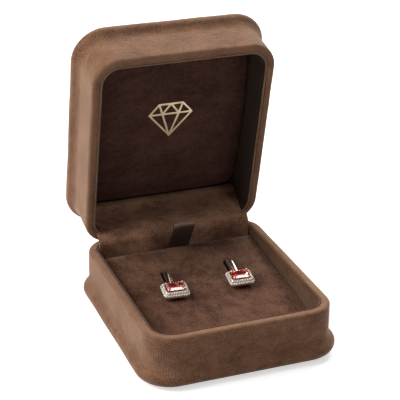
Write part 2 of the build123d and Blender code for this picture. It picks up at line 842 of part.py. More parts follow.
# Write every piece, the lid's pieces turned open
os.makedirs("parts", exist_ok=True)
base_pieces = {
    "base_shell": base_shell,
    "base_suede_cover": base_suede_cover,
    "base_liner": base_liner,
    "base_floor_lining": base_floor_lining,
    "base_bottom_pad": base_bottom_pad,
    "hinge_block": hinge_block,
    "hinge_base_leaf": hinge_base_leaf,
    "hinge_pin": hinge_pin,
    "hinge_base_screws": hinge_base_screws,
    "hinge_snap_spring": hinge_snap_spring,
    "insert_platform": insert_platform,
    "insert_foam": insert_foam,
    "insert_suede_cover": insert_suede_cover,
    "insert_pull_tab": insert_pull_tab,
    "hinge_curtain": hinge_curtain,
}
lid_pieces = {
    "lid_shell": lid_shell,
    "lid_suede_cover": lid_suede_cover,
    "lid_liner": lid_liner,
    "lid_spacer_frame": lid_spacer_frame,
    "lid_panel_card": lid_panel_card,
    "lid_panel_foam": lid_panel_foam,
    "lid_panel_cover": lid_panel_cover,
    "lid_foil_ornament": lid_foil_ornament,
    "hinge_lid_leaf": hinge_lid_leaf,
    "hinge_lid_screws": hinge_lid_screws,
}
for node, piece in base_pieces.items():
    save(node, piece)
for node, piece in lid_pieces.items():
    save(node, opened(piece))
for owner, place in earrings.items():
    for name, piece in earring_pieces.items():
        save(f"{owner}_{name}", earring_place(place) * piece)
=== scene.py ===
# %% [markdown]
# # A suede earring box in Blender
# The box stands open: a base with a rounded moulding round its foot, a lid of the same
# make on a hidden hinge, a dark padded panel inside the lid, a sloping cushion with a pull
# ribbon, and a pair of halo earrings pushed into the cushion.
# The imported CAD model is loaded first. It says where every piece goes and how it moves,
# and each piece made here sits in its place; all but the hinge curtain ride on their body.

# %% Load the imported box
import json
import math
import bmesh
import bpy
import numpy as np
from mathutils import Euler, Matrix, Vector, noise
from mathutils.bvhtree import BVHTree


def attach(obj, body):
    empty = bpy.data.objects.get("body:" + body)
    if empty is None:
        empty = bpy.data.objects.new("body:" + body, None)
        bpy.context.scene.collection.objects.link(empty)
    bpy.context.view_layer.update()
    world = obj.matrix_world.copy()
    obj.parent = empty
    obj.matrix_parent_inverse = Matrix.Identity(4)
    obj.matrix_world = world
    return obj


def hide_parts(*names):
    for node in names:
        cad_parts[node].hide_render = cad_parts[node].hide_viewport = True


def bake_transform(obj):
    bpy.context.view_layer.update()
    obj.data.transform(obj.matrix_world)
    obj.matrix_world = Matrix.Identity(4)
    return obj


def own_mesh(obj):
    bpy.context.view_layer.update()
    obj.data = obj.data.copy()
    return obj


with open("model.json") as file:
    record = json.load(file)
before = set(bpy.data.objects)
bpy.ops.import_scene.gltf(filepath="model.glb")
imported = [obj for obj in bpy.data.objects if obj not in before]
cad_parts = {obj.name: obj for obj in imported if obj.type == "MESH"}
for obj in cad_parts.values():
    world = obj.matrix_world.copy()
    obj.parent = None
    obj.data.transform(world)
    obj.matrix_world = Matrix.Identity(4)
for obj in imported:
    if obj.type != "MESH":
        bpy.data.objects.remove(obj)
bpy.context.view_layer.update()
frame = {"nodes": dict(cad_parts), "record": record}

record_slots = [finish["slot"] for finish in frame["record"]["materials"]]

# %% [markdown]
# The camera comes first, because everything else is judged through it. Its place and its
# three directions were worked out by least squares from the box's edges and corners. A
# small vertical shift stands for the way the picture was cropped.

# %% Camera
MM = 0.001
FOCAL_PIXELS = 1364.4
FRAME_PIXELS = 400
SENSOR_WIDTH = 36.0


def in_scene(name, data):
    """New object at the scene's origin."""
    item = bpy.data.objects.new(name, data)
    bpy.context.scene.collection.objects.link(item)
    return item


camera = in_scene("camera", bpy.data.cameras.new("camera"))
camera_place = Vector((-173.73, -441.81, 272.64)) * MM
right = Vector((0.9341, -0.3567, 0.0103))
up = Vector((0.1391, 0.3904, 0.9101))
back = Vector((-0.3287, -0.8487, 0.4143))
turned = Matrix((right, up, back)).transposed().to_4x4()
camera.matrix_world = Matrix.Translation(camera_place) @ turned
camera.data.sensor_width = SENSOR_WIDTH
camera.data.lens = FOCAL_PIXELS * SENSOR_WIDTH / FRAME_PIXELS
camera.data.shift_x = 0.0004
camera.data.shift_y = -0.0221
bpy.context.scene.camera = camera
print("camera lens", round(camera.data.lens, 1), "mm")

# %% [markdown]
# Soft studio light falls on the box from high on the left, and little of it reaches the
# front, so that the nap of the cloth reads light on one side and dark on the other. A
# second lamp behind on the right throws the earrings' shadows towards the front, and a small
# one above gives the front facets of the stones their bright glint.

# %% Lamps
BOX_MIDDLE = Vector((0, 0.01, 0.04))


def softbox(name, place, size, power, tint=(1, 1, 1)):
    """Square lamp at a place, turned towards the middle of the box."""
    lamp = bpy.data.lights.new(name, "AREA")
    lamp.shape = "SQUARE"
    lamp.size = size
    lamp.energy = power
    lamp.color = tint
    turn = (BOX_MIDDLE - Vector(place)).to_track_quat("-Z", "Y").to_matrix().to_4x4()
    in_scene(name, lamp).matrix_world = Matrix.Translation(place) @ turn


softbox("left_softbox", (-0.62, 0.10, 0.62), 0.6, 9.0, (1, 0.98, 0.95))
softbox("right_softbox", (0.50, 0.40, 0.60), 0.3, 4.6, (1, 0.98, 0.95))
softbox("top_glint", (0.20, -0.45, 0.71), 0.15, 0.50)
print("three lamps")

# %% [markdown]
# Every finish is drawn with shader nodes. A node tree is easier to read as arithmetic, so
# a small class wraps one number socket and gives it +, -, * and /. Each sign adds the Math
# node that it stands for. All other nodes come from one method, which takes the node's
# type, its settings and what goes into its sockets.

# %% Numbers in a node tree
class Amount:
    """One number in a node tree. Arithmetic on it adds Math nodes."""

    def __init__(self, tree, socket):
        self.tree = tree
        self.socket = socket

    def work(self, operation, *inputs):
        """Adds one Math node."""
        node = self.tree.add("ShaderNodeMath", {"operation": operation}, dict(enumerate(inputs)))
        return Amount(self.tree, node.outputs[0])

    def __add__(self, other):
        return self.work("ADD", self, other)

    __radd__ = __add__

    def __sub__(self, other):
        return self.work("SUBTRACT", self, other)

    def __rsub__(self, other):
        return self.work("SUBTRACT", other, self)

    def __mul__(self, other):
        return self.work("MULTIPLY", self, other)

    __rmul__ = __mul__

    def __truediv__(self, other):
        return self.work("DIVIDE", self, other)

    def __pow__(self, other):
        return self.work("POWER", self, other)

    def wave(self):
        """The sine, between -1 and 1."""
        return self.work("SINE", self)

    def within(self, low=0.0, high=1.0):
        """The same number, held between a lowest and a highest value."""
        return self.work("MINIMUM", self.work("MAXIMUM", self, low), high)


print("numbers add Math nodes")

# %% Node trees
class Tree:
    """A node tree being drawn."""

    def __init__(self, tree):
        self.tree = tree

    def add(self, kind, settings=None, sockets=None):
        """Any node: its type, its settings, and the values or links of its sockets."""
        node = self.tree.nodes.new(kind)
        for key, value in (settings or {}).items():
            setattr(node, key, value)
        for key, value in (sockets or {}).items():
            value = getattr(value, "socket", value)
            if isinstance(value, bpy.types.NodeSocket):
                self.tree.links.new(value, node.inputs[key])
            else:
                node.inputs[key].default_value = value
        return node


print("trees take any node")

# %% [markdown]
# A finish is a tree round one Principled shader. Its methods are the few patterns that suede,
# card, metal and stone share: clouds, cells, a mix of two shades and a small relief.

# %% Finishes
class Finish(Tree):
    """One procedural material round a Principled shader."""

    def __init__(self, name, **constants):
        self.material = bpy.data.materials.new(name)
        self.material.use_nodes = True
        super().__init__(self.material.node_tree)
        self.shader = self.tree.nodes["Principled BSDF"]
        for key, value in constants.items():
            self.shader.inputs[key.replace("_", " ")].default_value = value

    def place(self, follow="Object"):
        """Where on the piece: its own coordinates, or its cloth map."""
        return self.add("ShaderNodeTexCoord").outputs[follow]

    def stretched(self, place, scale):
        """The same place, stretched along its axes."""
        return self.add("ShaderNodeMapping", {}, {"Vector": place, "Scale": scale}).outputs[0]

    def noise(self, place, scale, detail=2.0, roughness=0.5):
        """Cloudy noise between 0 and 1, its scale in clouds for each metre."""
        sockets = {"Vector": place, "Scale": scale, "Detail": detail, "Roughness": roughness}
        return Amount(self, self.add("ShaderNodeTexNoise", {}, sockets).outputs["Fac"])

    def cells(self, place, scale):
        """Distance from the middle of the nearest of many small cells."""
        node = self.add("ShaderNodeTexVoronoi", {"feature": "F1"}, {"Vector": place, "Scale": scale})
        return Amount(self, node.outputs["Distance"])

    def axis(self, place, index):
        """One of a place's three numbers."""
        return Amount(self, self.add("ShaderNodeSeparateXYZ", {}, {0: place}).outputs[index])

    def colour(self, share, dark, light):
        """Mixes two colours by a share and feeds the base colour."""
        sockets = {0: share, 6: (*dark, 1), 7: (*light, 1)}
        node = self.add("ShaderNodeMix", {"data_type": "RGBA"}, sockets)
        self.feed("Base Color", node.outputs[2])

    def feed(self, name, value):
        """Links a value to a socket of the shader."""
        self.tree.links.new(getattr(value, "socket", value), self.shader.inputs[name])

    def bump(self, height, distance, strength=1.0):
        """Small relief: a height between 0 and 1, and what 1 stands for."""
        sockets = {"Height": height, "Distance": distance, "Strength": strength}
        self.feed("Normal", self.add("ShaderNodeBump", {}, sockets).outputs[0])


print("finishes start from one shader")

# %% [markdown]
# Suede cloth is a short nap on a knitted back. Three things show: broad clouds where a hand
# stroked the nap one way or the other, faint upright ribs of the knit, and fine fibres. The
# sheen of the shader gives the pale edge that a nap has where it is seen along the surface.
# Where a cloth goes round the box, the pattern follows its own cloth map, so that the ribs
# stay upright round every corner.

# %% How suede looks
RIB_PITCH = 1.0 * MM
RIB_DRIFT = 1.2
WEAR_AND_HIGHLIGHT_WIDTH = 1.6 * MM
CLOUDS_A_METRE = 75
STROKES_A_METRE = 320
FIBRES_A_METRE = 2100
SHEEN_TINT = (1.0, 0.74, 0.57, 1)


def suede(name, dark, light, follow="UV", rib_depth=0.06, contrast=1.7, grain=1.7, relief=0.25,
          sheen=0.6, lay=(1.0, 1.5, 1.5), wear_and_highlight=0.0):
    """Napped cloth between a dark and a light shade of one colour. grain is the fibres'
    contrast and relief their height in mm. lay says along which axes the clouds are finer.
    The last argument says how much lighter the cloth is drawn in a band where the cloth
    map's height is zero: partly worn nap, partly a painted highlight."""
    cloth = Finish(name, Sheen_Weight=sheen, Sheen_Roughness=0.45, Specular_IOR_Level=0.15)
    cloth.shader.inputs["Sheen Tint"].default_value = SHEEN_TINT
    place = cloth.place(follow)
    laid = cloth.stretched(place, lay)
    clouds = cloth.noise(laid, CLOUDS_A_METRE, 4.0, 0.6)
    strokes = cloth.noise(laid, STROKES_A_METRE, 3.0, 0.65)
    fibres = cloth.noise(place, FIBRES_A_METRE, 2.0, 0.7)
    drift = (strokes - 0.5) * RIB_PITCH * RIB_DRIFT
    ribs = ((cloth.axis(place, 0) + drift) * (2 * math.pi / RIB_PITCH)).wave()
    nap = (clouds - 0.5) * contrast + (strokes - 0.5) * (contrast * 0.7) + (fibres - 0.5) * grain
    # A lighter band along the cloth map's zero line: partly worn nap, partly a painted highlight.
    if wear_and_highlight:
        away = cloth.axis(place, 1) / WEAR_AND_HIGHLIGHT_WIDTH
        nap = nap + (away * away + 1.0) ** -2.0 * wear_and_highlight
    cloth.colour((nap + ribs * rib_depth + 0.5).within(), dark, light)
    cloth.feed("Roughness", 0.78 + strokes * 0.2)
    cloth.bump(fibres * 0.6 + strokes * 0.8 + ribs * (rib_depth * 1.5), relief * MM, 0.7)
    return cloth.material


def shades(colour, spread, redder=(1.15, 0.95, 0.86)):
    """A darker, redder shade of one colour and a lighter, greyer one."""
    greyer = (0.96, 1.01, 1.03)
    return [
        [c * t * (1 - spread) for c, t in zip(colour, redder)],
        [c * t * (1 + spread) for c, t in zip(colour, greyer)],
    ]


print("ribs of the knit are", round(RIB_PITCH / MM, 1), "mm apart")

# %% The box's suedes
finishes = {
    # The outer cloth's lighter band along the rim is partly worn nap and partly a painted highlight.
    "outer_suede": suede(
        "outer_suede", *shades((0.178, 0.088, 0.050), 0.52), rib_depth=0.08, grain=3.2, relief=0.36,
        wear_and_highlight=0.45),
    "lining_suede": suede("lining_suede", *shades((0.094, 0.045, 0.025), 0.45), sheen=0.3),
    # The lid's lining is drawn nearly black: its own dark cloth deepened by painted shade of the lid's
    # hollow.
    "lid_lining_suede": suede("lid_lining_suede", *shades((0.017, 0.008, 0.005), 0.40), sheen=0.2),
    "cushion_suede": suede(
        "cushion_suede", *shades((0.084, 0.037, 0.021), 0.70, redder=(1.45, 0.90, 0.85)),
        follow="Object", rib_depth=0.05, contrast=2.5, grain=3.4, sheen=0.28, lay=(1.0, 0.8, 1.0)),
    "panel_suede": suede(
        "panel_suede", *shades((0.080, 0.035, 0.026), 0.55), follow="Object", grain=2.4, sheen=0.1),
    # The curtain's lighter band, at its lip under the panel's edge, is a painted highlight.
    "curtain_suede": suede(
        "curtain_suede", *shades((0.285, 0.146, 0.088), 0.60), contrast=2.2, grain=3.0, wear_and_highlight=0.55),
    # edge_suede is a painted highlight along the top edge of the lid's lining card.
    "edge_suede": suede("edge_suede", *shades((0.24, 0.145, 0.098), 0.30)),
    "foot_pad": suede("foot_pad", *shades((0.06, 0.042, 0.035), 0.3), rib_depth=0.0),
}
print("suede finishes:", len(finishes))

# %% [markdown]
# The ribbon is a narrow satin weave. Its threads run in two directions: fine cross threads
# that catch the light, and warp threads along its length. A ramp across the ribbon would be
# too coarse, so two waves on the cloth map make the weave.

# %% Ribbon finish
WARP_PITCH = 0.35 * MM
WEFT_PITCH = 0.45 * MM
FOLD_HIGHLIGHT_WIDTH = 2.2 * MM


def woven_ribbon(name, dark, light, fold_place):
    """Satin ribbon with a painted highlight where it is folded over, at a place along it."""
    weave = Finish(name, Sheen_Weight=0.12, Sheen_Roughness=0.3, Specular_IOR_Level=0.4)
    place = weave.place("UV")
    across = (weave.axis(place, 0) * (2 * math.pi / WARP_PITCH)).wave()
    along = (weave.axis(place, 1) * (2 * math.pi / WEFT_PITCH)).wave()
    wear = weave.noise(place, 240, 3)
    # A painted highlight along the fold.
    from_fold = (weave.axis(place, 1) - fold_place) / FOLD_HIGHLIGHT_WIDTH
    fold = (from_fold * from_fold + 1.0) ** -2.0
    weave.colour((wear * 0.4 + across * along * 0.1 + fold * 0.9).within(), dark, light)
    weave.feed("Roughness", 0.42 + wear * 0.2)
    weave.bump(across * 0.4 + along * 0.6, 0.05 * MM, 0.7)
    return weave.material


finishes["ribbon"] = woven_ribbon("ribbon", (0.034, 0.014, 0.013), (0.19, 0.125, 0.085), 19.6 * MM)
print("ribbon finish ready")

# %% [markdown]
# Behind the cloth are moulded board, card, foam and a beech strip. They hardly show, but
# each keeps the look of its own stuff: fibres in the board, open cells in the foam, long
# grain in the wood.

# %% Finishes of the hidden stuff
def pressed_fibre(name, dark, light, fibre_scale):
    """Board or card: short fibres pressed flat, with a few darker specks."""
    board = Finish(name, Roughness=0.9, Specular_IOR_Level=0.2)
    place = board.place()
    fibres = board.noise(board.stretched(place, (1, 4, 1)), fibre_scale, 4, 0.7)
    specks = (board.noise(place, fibre_scale * 0.6, 1) - 0.62).within(0, 1) * 2.0
    board.colour((fibres - specks).within(), dark, light)
    board.feed("Roughness", 0.8 + fibres * 0.18)
    board.bump(fibres, 0.1 * MM, 0.6)
    return board.material


def open_foam(name, dark, light):
    """Foam: dark pores in a pale skin."""
    foam = Finish(name, Specular_IOR_Level=0.1)
    place = foam.place()
    pores = foam.cells(place, 1500)
    foam.colour((pores * 1.4).within(), dark, light)
    foam.feed("Roughness", 0.9 - pores * 0.1)
    foam.bump(pores, 0.3 * MM, 0.8)
    return foam.material


def beech(name, dark, light):
    """Beech: rings drawn out along the strip, with a finer grain over them."""
    wood = Finish(name, Specular_IOR_Level=0.3)
    place = wood.place()
    grain = wood.noise(wood.stretched(place, (1, 12, 12)), 60, 4, 0.6)
    rings = ((wood.axis(place, 2) * 2600 + grain * 9).wave() * 0.5 + 0.5)
    wood.colour((rings * 0.5 + grain * 0.5).within(), dark, light)
    wood.feed("Roughness", 0.5 + grain * 0.25)
    wood.bump(grain, 0.08 * MM, 0.5)
    return wood.material


finishes["shell_board"] = pressed_fibre("shell_board", (0.20, 0.14, 0.10), (0.36, 0.27, 0.20), 900)
finishes["card"] = pressed_fibre("card", (0.34, 0.27, 0.20), (0.50, 0.42, 0.33), 1400)
finishes["foam"] = open_foam("foam", (0.38, 0.36, 0.31), (0.66, 0.64, 0.58))
finishes["wood_block"] = beech("wood_block", (0.33, 0.21, 0.12), (0.52, 0.38, 0.25))
print("finishes so far:", len(finishes))

# %% [markdown]
# Metals differ in how they were worked. The hinge is pressed steel with fine drawing lines,
# the earrings are polished and only carry faint wipes, and the foil lines are stamped into
# cloth, so the nap under them shows as small dents. The bed between the small stones and the
# levers under the hooks are the same metal, drawn darker, because hardly any light gets there.

# %% Metal finishes
def worked_metal(name, dark, light, roughness, line_scale, stretch, dent):
    """Metal with tool lines stretched along its axes, and smudges between two shades."""
    metal = Finish(name, Metallic=1.0)
    place = metal.place()
    lines = metal.noise(metal.stretched(place, stretch), line_scale, 3, 0.6)
    smudge = metal.noise(place, 350, 2)
    metal.colour(smudge, dark, light)
    metal.feed("Roughness", roughness + (lines - 0.5) * roughness * 0.8 + smudge * 0.04)
    metal.bump(lines, dent, 0.6)
    return metal.material


finishes["hinge_metal"] = worked_metal(
    "hinge_metal", (0.46, 0.46, 0.47), (0.66, 0.66, 0.67), 0.32, 1200, (1, 14, 14), 0.03 * MM)
finishes["spring_steel"] = worked_metal(
    "spring_steel", (0.34, 0.35, 0.39), (0.50, 0.51, 0.55), 0.28, 1500, (14, 1, 1), 0.02 * MM)
finishes["gold_foil"] = worked_metal(
    "gold_foil", (0.62, 0.50, 0.30), (0.86, 0.74, 0.50), 0.36, 2600, (1, 1, 1), 0.06 * MM)
finishes["earring_metal"] = worked_metal(
    "earring_metal", (0.74, 0.60, 0.53), (0.94, 0.80, 0.73), 0.20, 2200, (1, 1, 1), 0.01 * MM)
finishes["stone_bed"] = worked_metal(
    "stone_bed", (0.15, 0.115, 0.09), (0.30, 0.24, 0.20), 0.45, 2600, (1, 1, 1), 0.02 * MM)
finishes["lever_metal"] = worked_metal(
    "lever_metal", (0.20, 0.14, 0.12), (0.38, 0.29, 0.25), 0.30, 2200, (1, 1, 1), 0.01 * MM)
print("metal finishes ready")

# %% [markdown]
# A faceted stone gets its life from its facets, so its shader stays simple. The garnet is
# clear, hard and tinted, and faint clouds change its red a little from place to place. The
# clear stones are too small to see through, so they are drawn pale, hard and glossy instead,
# with a little mirror in them.

# %% Stone finishes
def cut_stone(name, dark, light, index, roughness, cloud_scale, clearness, mirror=0.0):
    """Stone between two shades, as clear and as much of a mirror as is said."""
    stone = Finish(
        name, Transmission_Weight=clearness, IOR=index, Metallic=mirror, Coat_Weight=1.0,
        Coat_Roughness=0.02)
    place = stone.place()
    clouds = stone.noise(place, cloud_scale, 2)
    stone.colour(clouds, dark, light)
    stone.feed("Roughness", roughness + clouds * 0.02)
    stone.bump(clouds, 0.004 * MM, 0.3)
    return stone.material


finishes["garnet"] = cut_stone("garnet", (0.78, 0.02, 0.02), (1.0, 0.16, 0.08), 1.74, 0.01, 400, 0.9)
finishes["clear_stone"] = cut_stone(
    "clear_stone", (0.97, 0.89, 0.79), (1.0, 0.96, 0.88), 1.9, 0.03, 900, 0.0, mirror=0.1)
print("finishes:", len(finishes), "for", len(record_slots), "slots of the record")

# %% [markdown]
# The CAD nodes of hidden metal, board, card and wood already have the right shape. They
# stay, and only get the better finish of their slot.

# %% Dress every CAD node with its slot's finish
for part in frame["record"]["subparts"]:
    node = frame["nodes"][part["node"]]
    node.data.materials.clear()
    node.data.materials.append(finishes[part["material_slot"]])

# %% [markdown]
# All pieces are drawn in millimetres and written in metres. A mesh here is a list of
# points, faces by point number, and for cloth one map place for each corner of each face.
# Most shapes are rings of points with a skin over them, so two functions number the faces.

# %% New pieces and their faces
def new_piece(name, points, faces, finish, corner_map=None, smooth=True):
    """Object at the origin whose mesh holds its place, from points in millimetres."""
    mesh = bpy.data.meshes.new(name)
    mesh.from_pydata((np.asarray(points, float) * MM).tolist(), [], faces)
    if corner_map is not None:
        layer = mesh.uv_layers.new(name="cloth")
        layer.data.foreach_set("uv", (np.asarray(corner_map, float) * MM).ravel())
    mesh.polygons.foreach_set("use_smooth", [smooth] * len(mesh.polygons))
    mesh.materials.append(finishes[finish])
    return in_scene(name, mesh)


def skin_faces(rows, count, closed):
    """Faces over rows of count points each: closed into a tube, or capped at both ends."""
    faces = []
    for row in range(rows if closed else rows - 1):
        here, below = row * count, (row + 1) % rows * count
        for place in range(count):
            after = (place + 1) % count
            faces.append([here + place, here + after, below + after, below + place])
    if not closed:
        faces += [list(range(count))[::-1], list(range((rows - 1) * count, rows * count))]
    return faces


def side_faces(first, count):
    """Faces between two rings of count points, the second straight after the first."""
    faces = []
    for place in range(count):
        after = (place + 1) % count
        faces.append([first + place, first + after, first + count + after, first + count + place])
    return faces


print("a capped tube of 3 rings has", len(skin_faces(3, 8, closed=False)), "faces")

# %% [markdown]
# A drawn piece is then worked on: its faces are turned outwards, its modifiers are applied,
# and room is cut in it. A count of open edges tells whether its skin is whole.

# %% Work on a piece
def face_out(piece):
    """Turns every face of a closed mesh outwards."""
    work = bmesh.new()
    work.from_mesh(piece.data)
    bmesh.ops.recalc_face_normals(work, faces=work.faces)
    work.to_mesh(piece.data)
    work.free()
    return piece


def settle(piece):
    """Applies a piece's modifiers, so that its mesh is plain and final."""
    graph = bpy.context.evaluated_depsgraph_get()
    done = bpy.data.meshes.new_from_object(
        piece.evaluated_get(graph), preserve_all_data_layers=True, depsgraph=graph)
    first = piece.data
    piece.modifiers.clear()
    piece.data = done
    bpy.data.meshes.remove(first)
    return piece


def cut_away(piece, *cutters):
    """Takes the space of the cutters out of a piece and removes them."""
    for cutter in cutters:
        cut = piece.modifiers.new("cut", "BOOLEAN")
        cut.operation = "DIFFERENCE"
        cut.solver = "EXACT"
        cut.object = cutter
    settle(piece)
    for cutter in cutters:
        bpy.data.objects.remove(cutter)
    return piece


def edges_that_gape(piece):
    """How many edges don't join exactly two faces."""
    work = bmesh.new()
    work.from_mesh(piece.data)
    count = sum(1 for edge in work.edges if len(edge.link_faces) != 2)
    work.free()
    return count


print("pieces can be turned out, settled and cut")

# %% [markdown]
# The box's plan is a rectangle with round corners, and every layer of its walls is the same
# outline drawn in a little further. So one loft makes them all: the outline gives a row of
# places and the direction in from each, and a wall section gives how far in and how high
# each ring of points goes.

# %% Plan outlines
HALF_WIDTH = 37.5
HALF_DEPTH = 43.35
CORNER = 11.1


class Outline:
    """Rectangle with round corners, as points, outward directions and length so far."""

    def __init__(self, half_x, low_y, high_y, front_corner, rear_corner, step=1.5):
        arcs = [
            ((half_x - rear_corner, high_y - rear_corner), rear_corner, 0),
            ((-half_x + rear_corner, high_y - rear_corner), rear_corner, 90),
            ((-half_x + front_corner, low_y + front_corner), front_corner, 180),
            ((half_x - front_corner, low_y + front_corner), front_corner, 270),
        ]
        points, outward = [], []
        for number, (centre, radius, start) in enumerate(arcs):
            count = max(6, round(radius * math.pi / 2 / (step * 0.7)))
            for turn in range(count + 1):
                angle = math.radians(start + 90 * turn / count)
                direction = np.array([math.cos(angle), math.sin(angle)])
                points.append(np.array(centre) + radius * direction)
                outward.append(direction)
            after = arcs[(number + 1) % 4]
            angle = math.radians(after[2])
            last = points[-1]
            run_end = np.array(after[0]) + after[1] * np.array([math.cos(angle), math.sin(angle)])
            pieces = max(1, round(np.linalg.norm(run_end - last) / step))
            for share in range(1, pieces):
                points.append(last + (run_end - last) * share / pieces)
                outward.append(outward[-1])
        self.points = np.array(points)
        self.outward = np.array(outward)
        steps = np.linalg.norm(np.roll(self.points, -1, axis=0) - self.points, axis=1)
        self.along = np.concatenate([[0], np.cumsum(steps)])

    def ring(self, inset, height):
        """Closed ring of points drawn in by inset, at a height or at a height for each point."""
        flat = self.points - self.outward * inset
        return np.column_stack([flat, np.broadcast_to(height, len(flat))])


wall_outline = Outline(HALF_WIDTH, -HALF_DEPTH, HALF_DEPTH, CORNER, CORNER)
print("outline of", len(wall_outline.points), "places,", round(wall_outline.along[-1], 1), "mm round")

# %% Lofts with a cloth map
PLAN_ASIDE = 100.0


def loft(name, rings, along, finish, closed=True, smooth=True, zero_row=0, flat_rows=0):
    """Skin over rings of points: closed into a tube, or capped at both ends. The cloth map
    runs along the rings, and its height is zero at one of them. Over the first flat rows and
    the caps, the map is the plan instead, moved aside so that it misses that zero."""
    rows, count = len(rings), len(rings[0])
    points = np.concatenate(rings)
    gaps = [np.linalg.norm(rings[(row + 1) % rows] - rings[row], axis=1).mean() for row in range(rows)]
    down = np.concatenate([[0], np.cumsum(gaps)])
    down -= down[zero_row]
    faces = skin_faces(rows, count, closed)
    corner_map = []
    for number, face in enumerate(faces):
        row, place = divmod(number, count)
        is_cap = row == rows - 1 and not closed
        if is_cap or row < flat_rows:
            corner_map += [(points[n][0], points[n][1] + PLAN_ASIDE) for n in face]
        else:
            left, wide, top, low = along[place], along[place + 1], down[row], down[row + 1]
            corner_map += [(left, top), (wide, top), (wide, low), (left, low)]
    return face_out(new_piece(name, points, faces, finish, corner_map, smooth))


print("lofts follow the outline")

# %% [markdown]
# The outer cloth is glued over the moulded board. Its section is the one that matters most
# to the look: under the foot, round the swelling moulding, into the hollow above it, up the
# wall, over the rim, and down into the fine groove where the lining card begins. A slow,
# shallow ripple keeps it from looking like plastic.

# %% Section of the outer cloth
SWELL_OUT = 2.5
SWELL_RADIUS = 3.0
SWELL_HEIGHT = 4.0
COVE_RADIUS = 6.0
RIM_ROUND = 1.3
CLOTH = 0.7
CAVITY = 3.2
TURN_IN = 9.0
GROOVE = 0.45
swell_inset = SWELL_RADIUS - SWELL_OUT
cove_rise = math.sqrt((COVE_RADIUS + SWELL_RADIUS) ** 2 - (COVE_RADIUS + swell_inset) ** 2)
cove_turn = math.atan2(cove_rise, COVE_RADIUS + swell_inset)


def arc(centre, radius, start, end, count):
    """Points of an arc in a wall section, as inset and height."""
    angles = np.linspace(start, end, count)
    return [(centre[0] - radius * math.cos(a), centre[1] + radius * math.sin(a)) for a in angles]


def wall_face(inset, height):
    """The wall seen in section from under the foot up to its rim."""
    quarter = math.pi / 2
    foot = arc((swell_inset, SWELL_HEIGHT), SWELL_RADIUS - inset, -quarter, cove_turn, 16)
    cove_height = SWELL_HEIGHT + cove_rise
    hollow = arc((-COVE_RADIUS, cove_height), COVE_RADIUS + inset, math.pi + cove_turn, math.pi, 9)[1:]
    top = height - RIM_ROUND
    count = round((top - cove_height) / 1.4)
    wall = [(inset, h) for h in np.linspace(cove_height, top, count + 1)[1:-1]]
    rim = arc((RIM_ROUND, top), RIM_ROUND - inset, 0, quarter, 6)
    return foot + hollow + wall + rim


def cover_section(height):
    """Closed section of the outer cloth, from the turned-in edge under the foot."""
    foot_level = SWELL_HEIGHT - SWELL_RADIUS
    under = [(s, foot_level) for s in (TURN_IN, 7.5, 6, 4.5)]
    outer = [(TURN_IN, foot_level + 0.25)] + under + wall_face(0, height)
    top = [(1.8, height), (2.3, height - 0.02)]
    top += arc((CAVITY - GROOVE, height - GROOVE - 0.04), GROOVE, math.pi / 2, math.pi, 5)
    end = [(CAVITY, height - CLOTH)]
    inner = wall_face(CLOTH, height)[::-1] + [(TURN_IN, foot_level + CLOTH)]
    return outer + top + end, inner


print("the hollow ends", round(SWELL_HEIGHT + cove_rise, 1), "mm above the table")

# %% Cloth of the base
FLAT_ROWS = 9
OUTER_RIPPLE = (0.16, 13.0)
BASE_HEIGHT = 21.1


def ripple(ring, outline, depth, size):
    """Moves a ring in and out along the outline by a slow noise, as deep and as large in
    millimetres as is said."""
    moved = ring.copy()
    for number, (x, y, z) in enumerate(ring):
        shift = noise.noise(Vector((x, y, z * 1.5)) / size) * depth
        moved[number, :2] += outline.outward[number] * shift
        moved[number, 2] += shift * 0.25 - depth * 0.25
    return moved


def outer_cloth(name, height, whole_top=False):
    """Cloth round a tray that stands on its moulding. It stops where it is turned in under
    the foot, or goes right across, as it does on the lid's top."""
    outer, inner = cover_section(height)
    if whole_top:
        outer = outer[1:]
    rings = [ripple(wall_outline.ring(s, z), wall_outline, *OUTER_RIPPLE) for s, z in outer]
    rings += [wall_outline.ring(s, z) for s, z in inner]
    # The map's zero is the rim, where the outer suede is drawn lighter: partly worn nap, partly a painted
    # highlight.
    rim_row = [z for s, z in outer].index(height)
    return loft(
        name, rings, wall_outline.along, "outer_suede", closed=not whole_top, zero_row=rim_row,
        flat_rows=FLAT_ROWS)


base_cloth = outer_cloth("base_cover_cloth", BASE_HEIGHT)
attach(base_cloth, "base")
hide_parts("base_suede_cover")
print("base cloth:", len(base_cloth.data.polygons), "faces,", edges_that_gape(base_cloth), "open edges")

# %% [markdown]
# The lid wears the same cloth, turned over and closed across the top. Its lower rear edge is
# rounded about the hinge pin, so that it rolls over the base's rim, and a pocket is cut there
# for the knuckles. The lid is drawn shut and then turned open about the pin, as the CAD model
# is.

# %% Turn the lid's pieces over and open
CLOSED_HEIGHT = 45.55
PIN = np.array([0, 41.0, 23.65])
OPEN_ANGLE = math.radians(77.6)


def opened(points):
    """Places of the shut lid once it stands open."""
    points = np.asarray(points, float)
    dy, dz = points[:, 1] - PIN[1], points[:, 2] - PIN[2]
    turned = points.copy()
    turned[:, 1] = PIN[1] + dy * math.cos(OPEN_ANGLE) + dz * math.sin(OPEN_ANGLE)
    turned[:, 2] = PIN[2] - dy * math.sin(OPEN_ANGLE) + dz * math.cos(OPEN_ANGLE)
    return turned


def points_of(mesh):
    """All points of a mesh in millimetres."""
    flat = np.empty(len(mesh.vertices) * 3)
    mesh.vertices.foreach_get("co", flat)
    return flat.reshape(-1, 3) / MM


def remake(piece, change):
    """Moves every point of a piece by a function of all its points in millimetres."""
    moved = change(points_of(piece.data)) * MM
    piece.data.vertices.foreach_set("co", moved.ravel())
    piece.data.update()
    return piece


def turned_over(points):
    """The tray turned over onto the base."""
    return points * (1, -1, -1) + (0, 0, CLOSED_HEIGHT)


print("the lid opens by", round(math.degrees(OPEN_ANGLE), 1), "degrees about", PIN)

